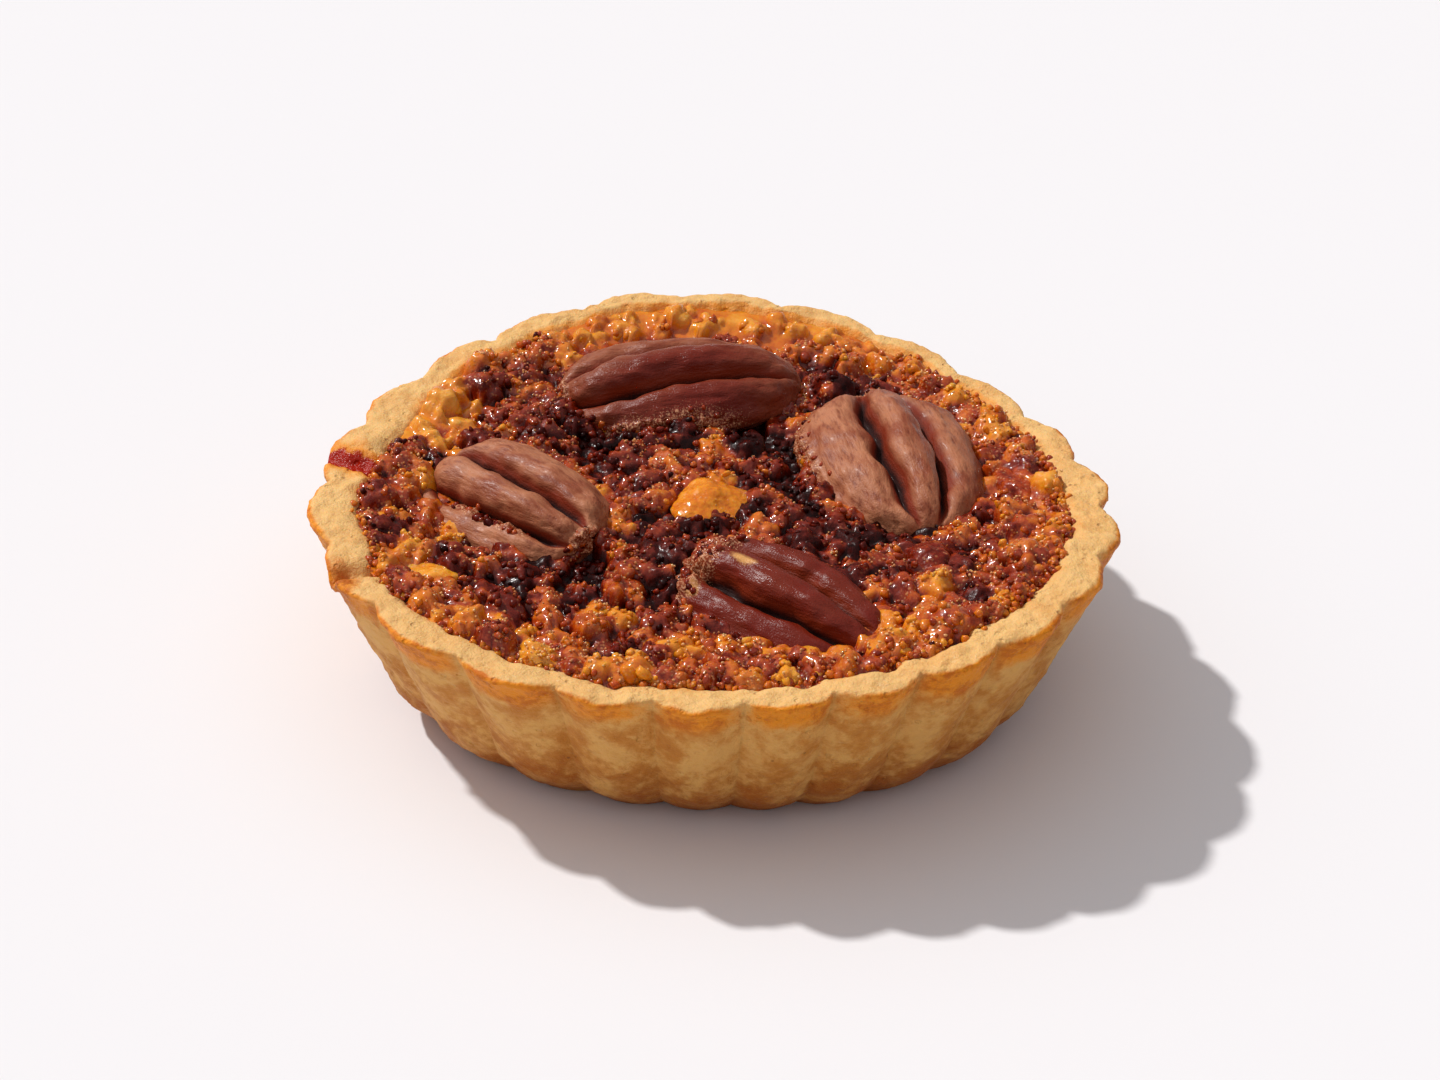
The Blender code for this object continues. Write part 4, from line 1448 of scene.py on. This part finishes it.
    def _sugar(self) -> CrumbPile:
        """Lays sugar grains over the face.

        Returns:
            The grains.
        """
        draw, terrain = self.draw, self.terrain
        pile = CrumbPile("sugar_grains", 1, 0.2, 81)
        for _ in range(self.grains):
            x, y = self.spot(0.2 * MM)
            dry = terrain.at(self.jelly, x, y) < 0.3 and terrain.at(terrain.tone, x, y) > draw.uniform(0.1, 0.4)
            if dry and terrain.at(self.room, x, y) > 0.0:
                radius = draw.uniform(0.10, 0.20) * MM
                z = terrain.at(terrain.height, x, y) + 0.5 * radius
                # grains lighter than the face under them: pale sugar that also stands in as painted glints
                pile.lay(Vector((x, y, z)), radius, terrain.at(terrain.tone, x, y) + draw.uniform(-0.1, 0.3))
        return pile


@dataclass
class Studio:
    """Floor, light and camera."""

    camera_place: tuple = (0.00073, -0.2598, 0.1808)
    camera_dip: float = math.radians(32.91)
    camera_roll: float = math.radians(2.19)
    lens: float = 70.0
    # name, where it comes from, strength, degrees that it spans, colour
    lights: tuple = (
        ("key_light", (-0.568, 0.328, 0.755), 2.9, 2.6, (1.0, 0.985, 0.965)),
        ("fill_light", (-0.25, -0.10, 0.95), 0.75, 110.0, (1.0, 0.99, 1.0)),
    )
    sky: Colour = (0.27, 0.262, 0.27)
    floor_size: float = 6.0

    def build_floor(self) -> None:
        """A plain floor."""
        bm = bmesh.new()
        bmesh.ops.create_grid(bm, x_segments=8, y_segments=8, size=0.5 * self.floor_size)
        mesh = write_mesh(bm, bpy.data.meshes.new("studio_floor"))
        mesh.materials.append(FlooringFinish().material())
        link("studio_floor", mesh)

    def build_lights(self) -> None:
        """Far lights and an even sky, and plain colours in the picture."""
        for name, direction, strength, degrees, colour in self.lights:
            light = bpy.data.lights.new(name, "SUN")
            light.energy, light.angle, light.color = strength, math.radians(degrees), colour
            link(name, light).rotation_euler = Vector(direction).to_track_quat("Z", "Y").to_euler()
        world = bpy.data.worlds.new("studio_sky")
        world.use_nodes = True
        world.node_tree.nodes["Background"].inputs["Color"].default_value = (*self.sky, 1.0)
        bpy.context.scene.world = world
        bpy.context.scene.view_settings.view_transform = "Standard"

    def build_camera(self) -> None:
        """The camera, at the photograph's viewing angle."""
        ahead = Vector((0.0, math.cos(self.camera_dip), -math.sin(self.camera_dip)))
        level_up = Vector((0.0, math.sin(self.camera_dip), math.cos(self.camera_dip)))
        level_right = Vector((1.0, 0.0, 0.0))
        right = level_right * math.cos(self.camera_roll) + level_up * math.sin(self.camera_roll)
        up = level_up * math.cos(self.camera_roll) - level_right * math.sin(self.camera_roll)
        data = bpy.data.cameras.new("camera")
        data.lens, data.sensor_width, data.clip_start = self.lens, 36.0, 0.01
        camera = link("camera", data)
        turn = Matrix((right, up, -ahead)).transposed().to_4x4()
        camera.matrix_world = Matrix.Translation(self.camera_place) @ turn
        bpy.context.scene.camera = camera


PECANS = (
    PecanHalf(
        "pecan_back", (-4.6, 21.0, 18.2), (-4.0, -6.0, 3.0), (28.2, 17.0, 7.0), 2.6, 26.0, -8.0, -14.0, 19.0, 0.48,
        crusts=(Patch(-0.15, -92.0, 0.62, 30.0), Patch(-0.95, 0.0, 0.06, 40.0)),
        soaks=(Patch(0.1, -70.0, 0.8, 45.0), Patch(0.0, -14.0, 0.8, 22.0)),
    ),
    PecanHalf(
        "pecan_right", (20.0, 6.0, 18.1), (-6.0, 3.0, -77.0), (26.4, 20.2, 6.3), 2.6, 18.0, 3.0, 0.0, 0.0, 0.06,
        crusts=(Patch(-0.15, -96.0, 0.75, 22.0), Patch(-0.97, 10.0, 0.05, 60.0)),
        soaks=(Patch(-0.8, 0.0, 0.2, 28.0), Patch(0.0, 6.0, 1.1, 14.0), Patch(0.2, 62.0, 0.9, 22.0)),
    ),
    PecanHalf(
        "pecan_left", (-21.2, -4.8, 17.8), (14.0, -3.0, -42.0), (22.2, 16.0, 5.8), 4.0, 22.0, -12.0, 0.0, 0.0, 0.10,
        crusts=(Patch(0.55, -78.0, 0.35, 16.0), Patch(0.98, 0.0, 0.05, 60.0), Patch(0.05, -32.0, 0.5, 6.0)),
    ),
    PecanHalf(
        "pecan_front", (7.5, -22.2, 17.8), (6.0, 3.0, -35.0), (23.4, 15.6, 5.8), 2.8, 23.0, -5.0, 0.0, 0.0, 0.85,
        crusts=(Patch(-0.84, -10.0, 0.20, 75.0),),
        chips=(Patch(-0.42, 3.0, 0.15, 7.0), Patch(-0.68, -48.0, 0.12, 10.0)),
    ),
)

# name, place, heading, size, number and tone
NUT_PIECES = tuple(NutPiece("nut_piece_" + name, place, (0.0, 0.0, heading), size, 2.0, *rest)
                   for name, place, heading, size, *rest in (
    ("centre", (0.0, -3.4, 19.2), 10.0, (9.6, 8.4, 3.2), 0, 0.72),
    ("dark", (22.8, -13.6, 19.0), -60.0, (8.0, 5.6, 3.4), 1, 0.30),
    ("amber", (23.4, -21.6, 18.4), 20.0, (5.6, 5.0, 3.0), 2, 0.64),
    ("gold", (-30.0, -19.2, 18.2), -8.0, (8.4, 4.6, 2.8), 3, 0.84),
    ("rim", (33.4, 2.2, 18.4), -62.0, (9.2, 4.6, 3.0), 4, 0.40),
))

CRUMB_FINISHES = {
    Crumb.BURNT: CaramelFinish("burnt_crumb", roughness=0.30, coat=0.35, subsurface=0.05),
    Crumb.RED: CaramelFinish("red_syrup", roughness=0.16, coat=0.80, subsurface=0.25, relief=0.05 * MM),
    Crumb.AMBER: CaramelFinish("amber_crumb", roughness=0.22, coat=0.60, subsurface=0.35, relief=0.08 * MM),
    Crumb.GOLDEN: CaramelFinish("golden_crumb", roughness=0.26, coat=0.45, subsurface=0.35, relief=0.10 * MM),
}


def main() -> None:
    """Builds the tart and its studio."""
    logging.basicConfig(level=logging.INFO, format="%(name)s %(message)s")
    studio = Studio()
    studio.build_floor()
    studio.build_lights()
    studio.build_camera()
    cup = Cup()
    cup.build()
    skin = SkinFinish().material()
    for pecan in PECANS:
        pecan.build(skin)
    glaze = CaramelFinish("glazed_nut", roughness=0.26, coat=0.45, subsurface=0.35).material()
    for piece in NUT_PIECES:
        piece.build(glaze)
    filling = Filling(cup, PECANS + NUT_PIECES)
    filling.build_core(CaramelFinish().material())
    # pale rosy ramp of the sugar grains, partly painted glints
    glint_ramp = ((0.0, (0.15, 0.022, 0.006)), (0.35, (0.48, 0.140, 0.045)), (0.8, (0.84, 0.440, 0.180)))
    sugar = CaramelFinish("sugar_glints", glint_ramp, roughness=0.14, coat=0.7, subsurface=0.2).material()
    filling.scatter({kind: finish.material() for kind, finish in CRUMB_FINISHES.items()}, sugar)


if __name__ == "__main__":
    main()
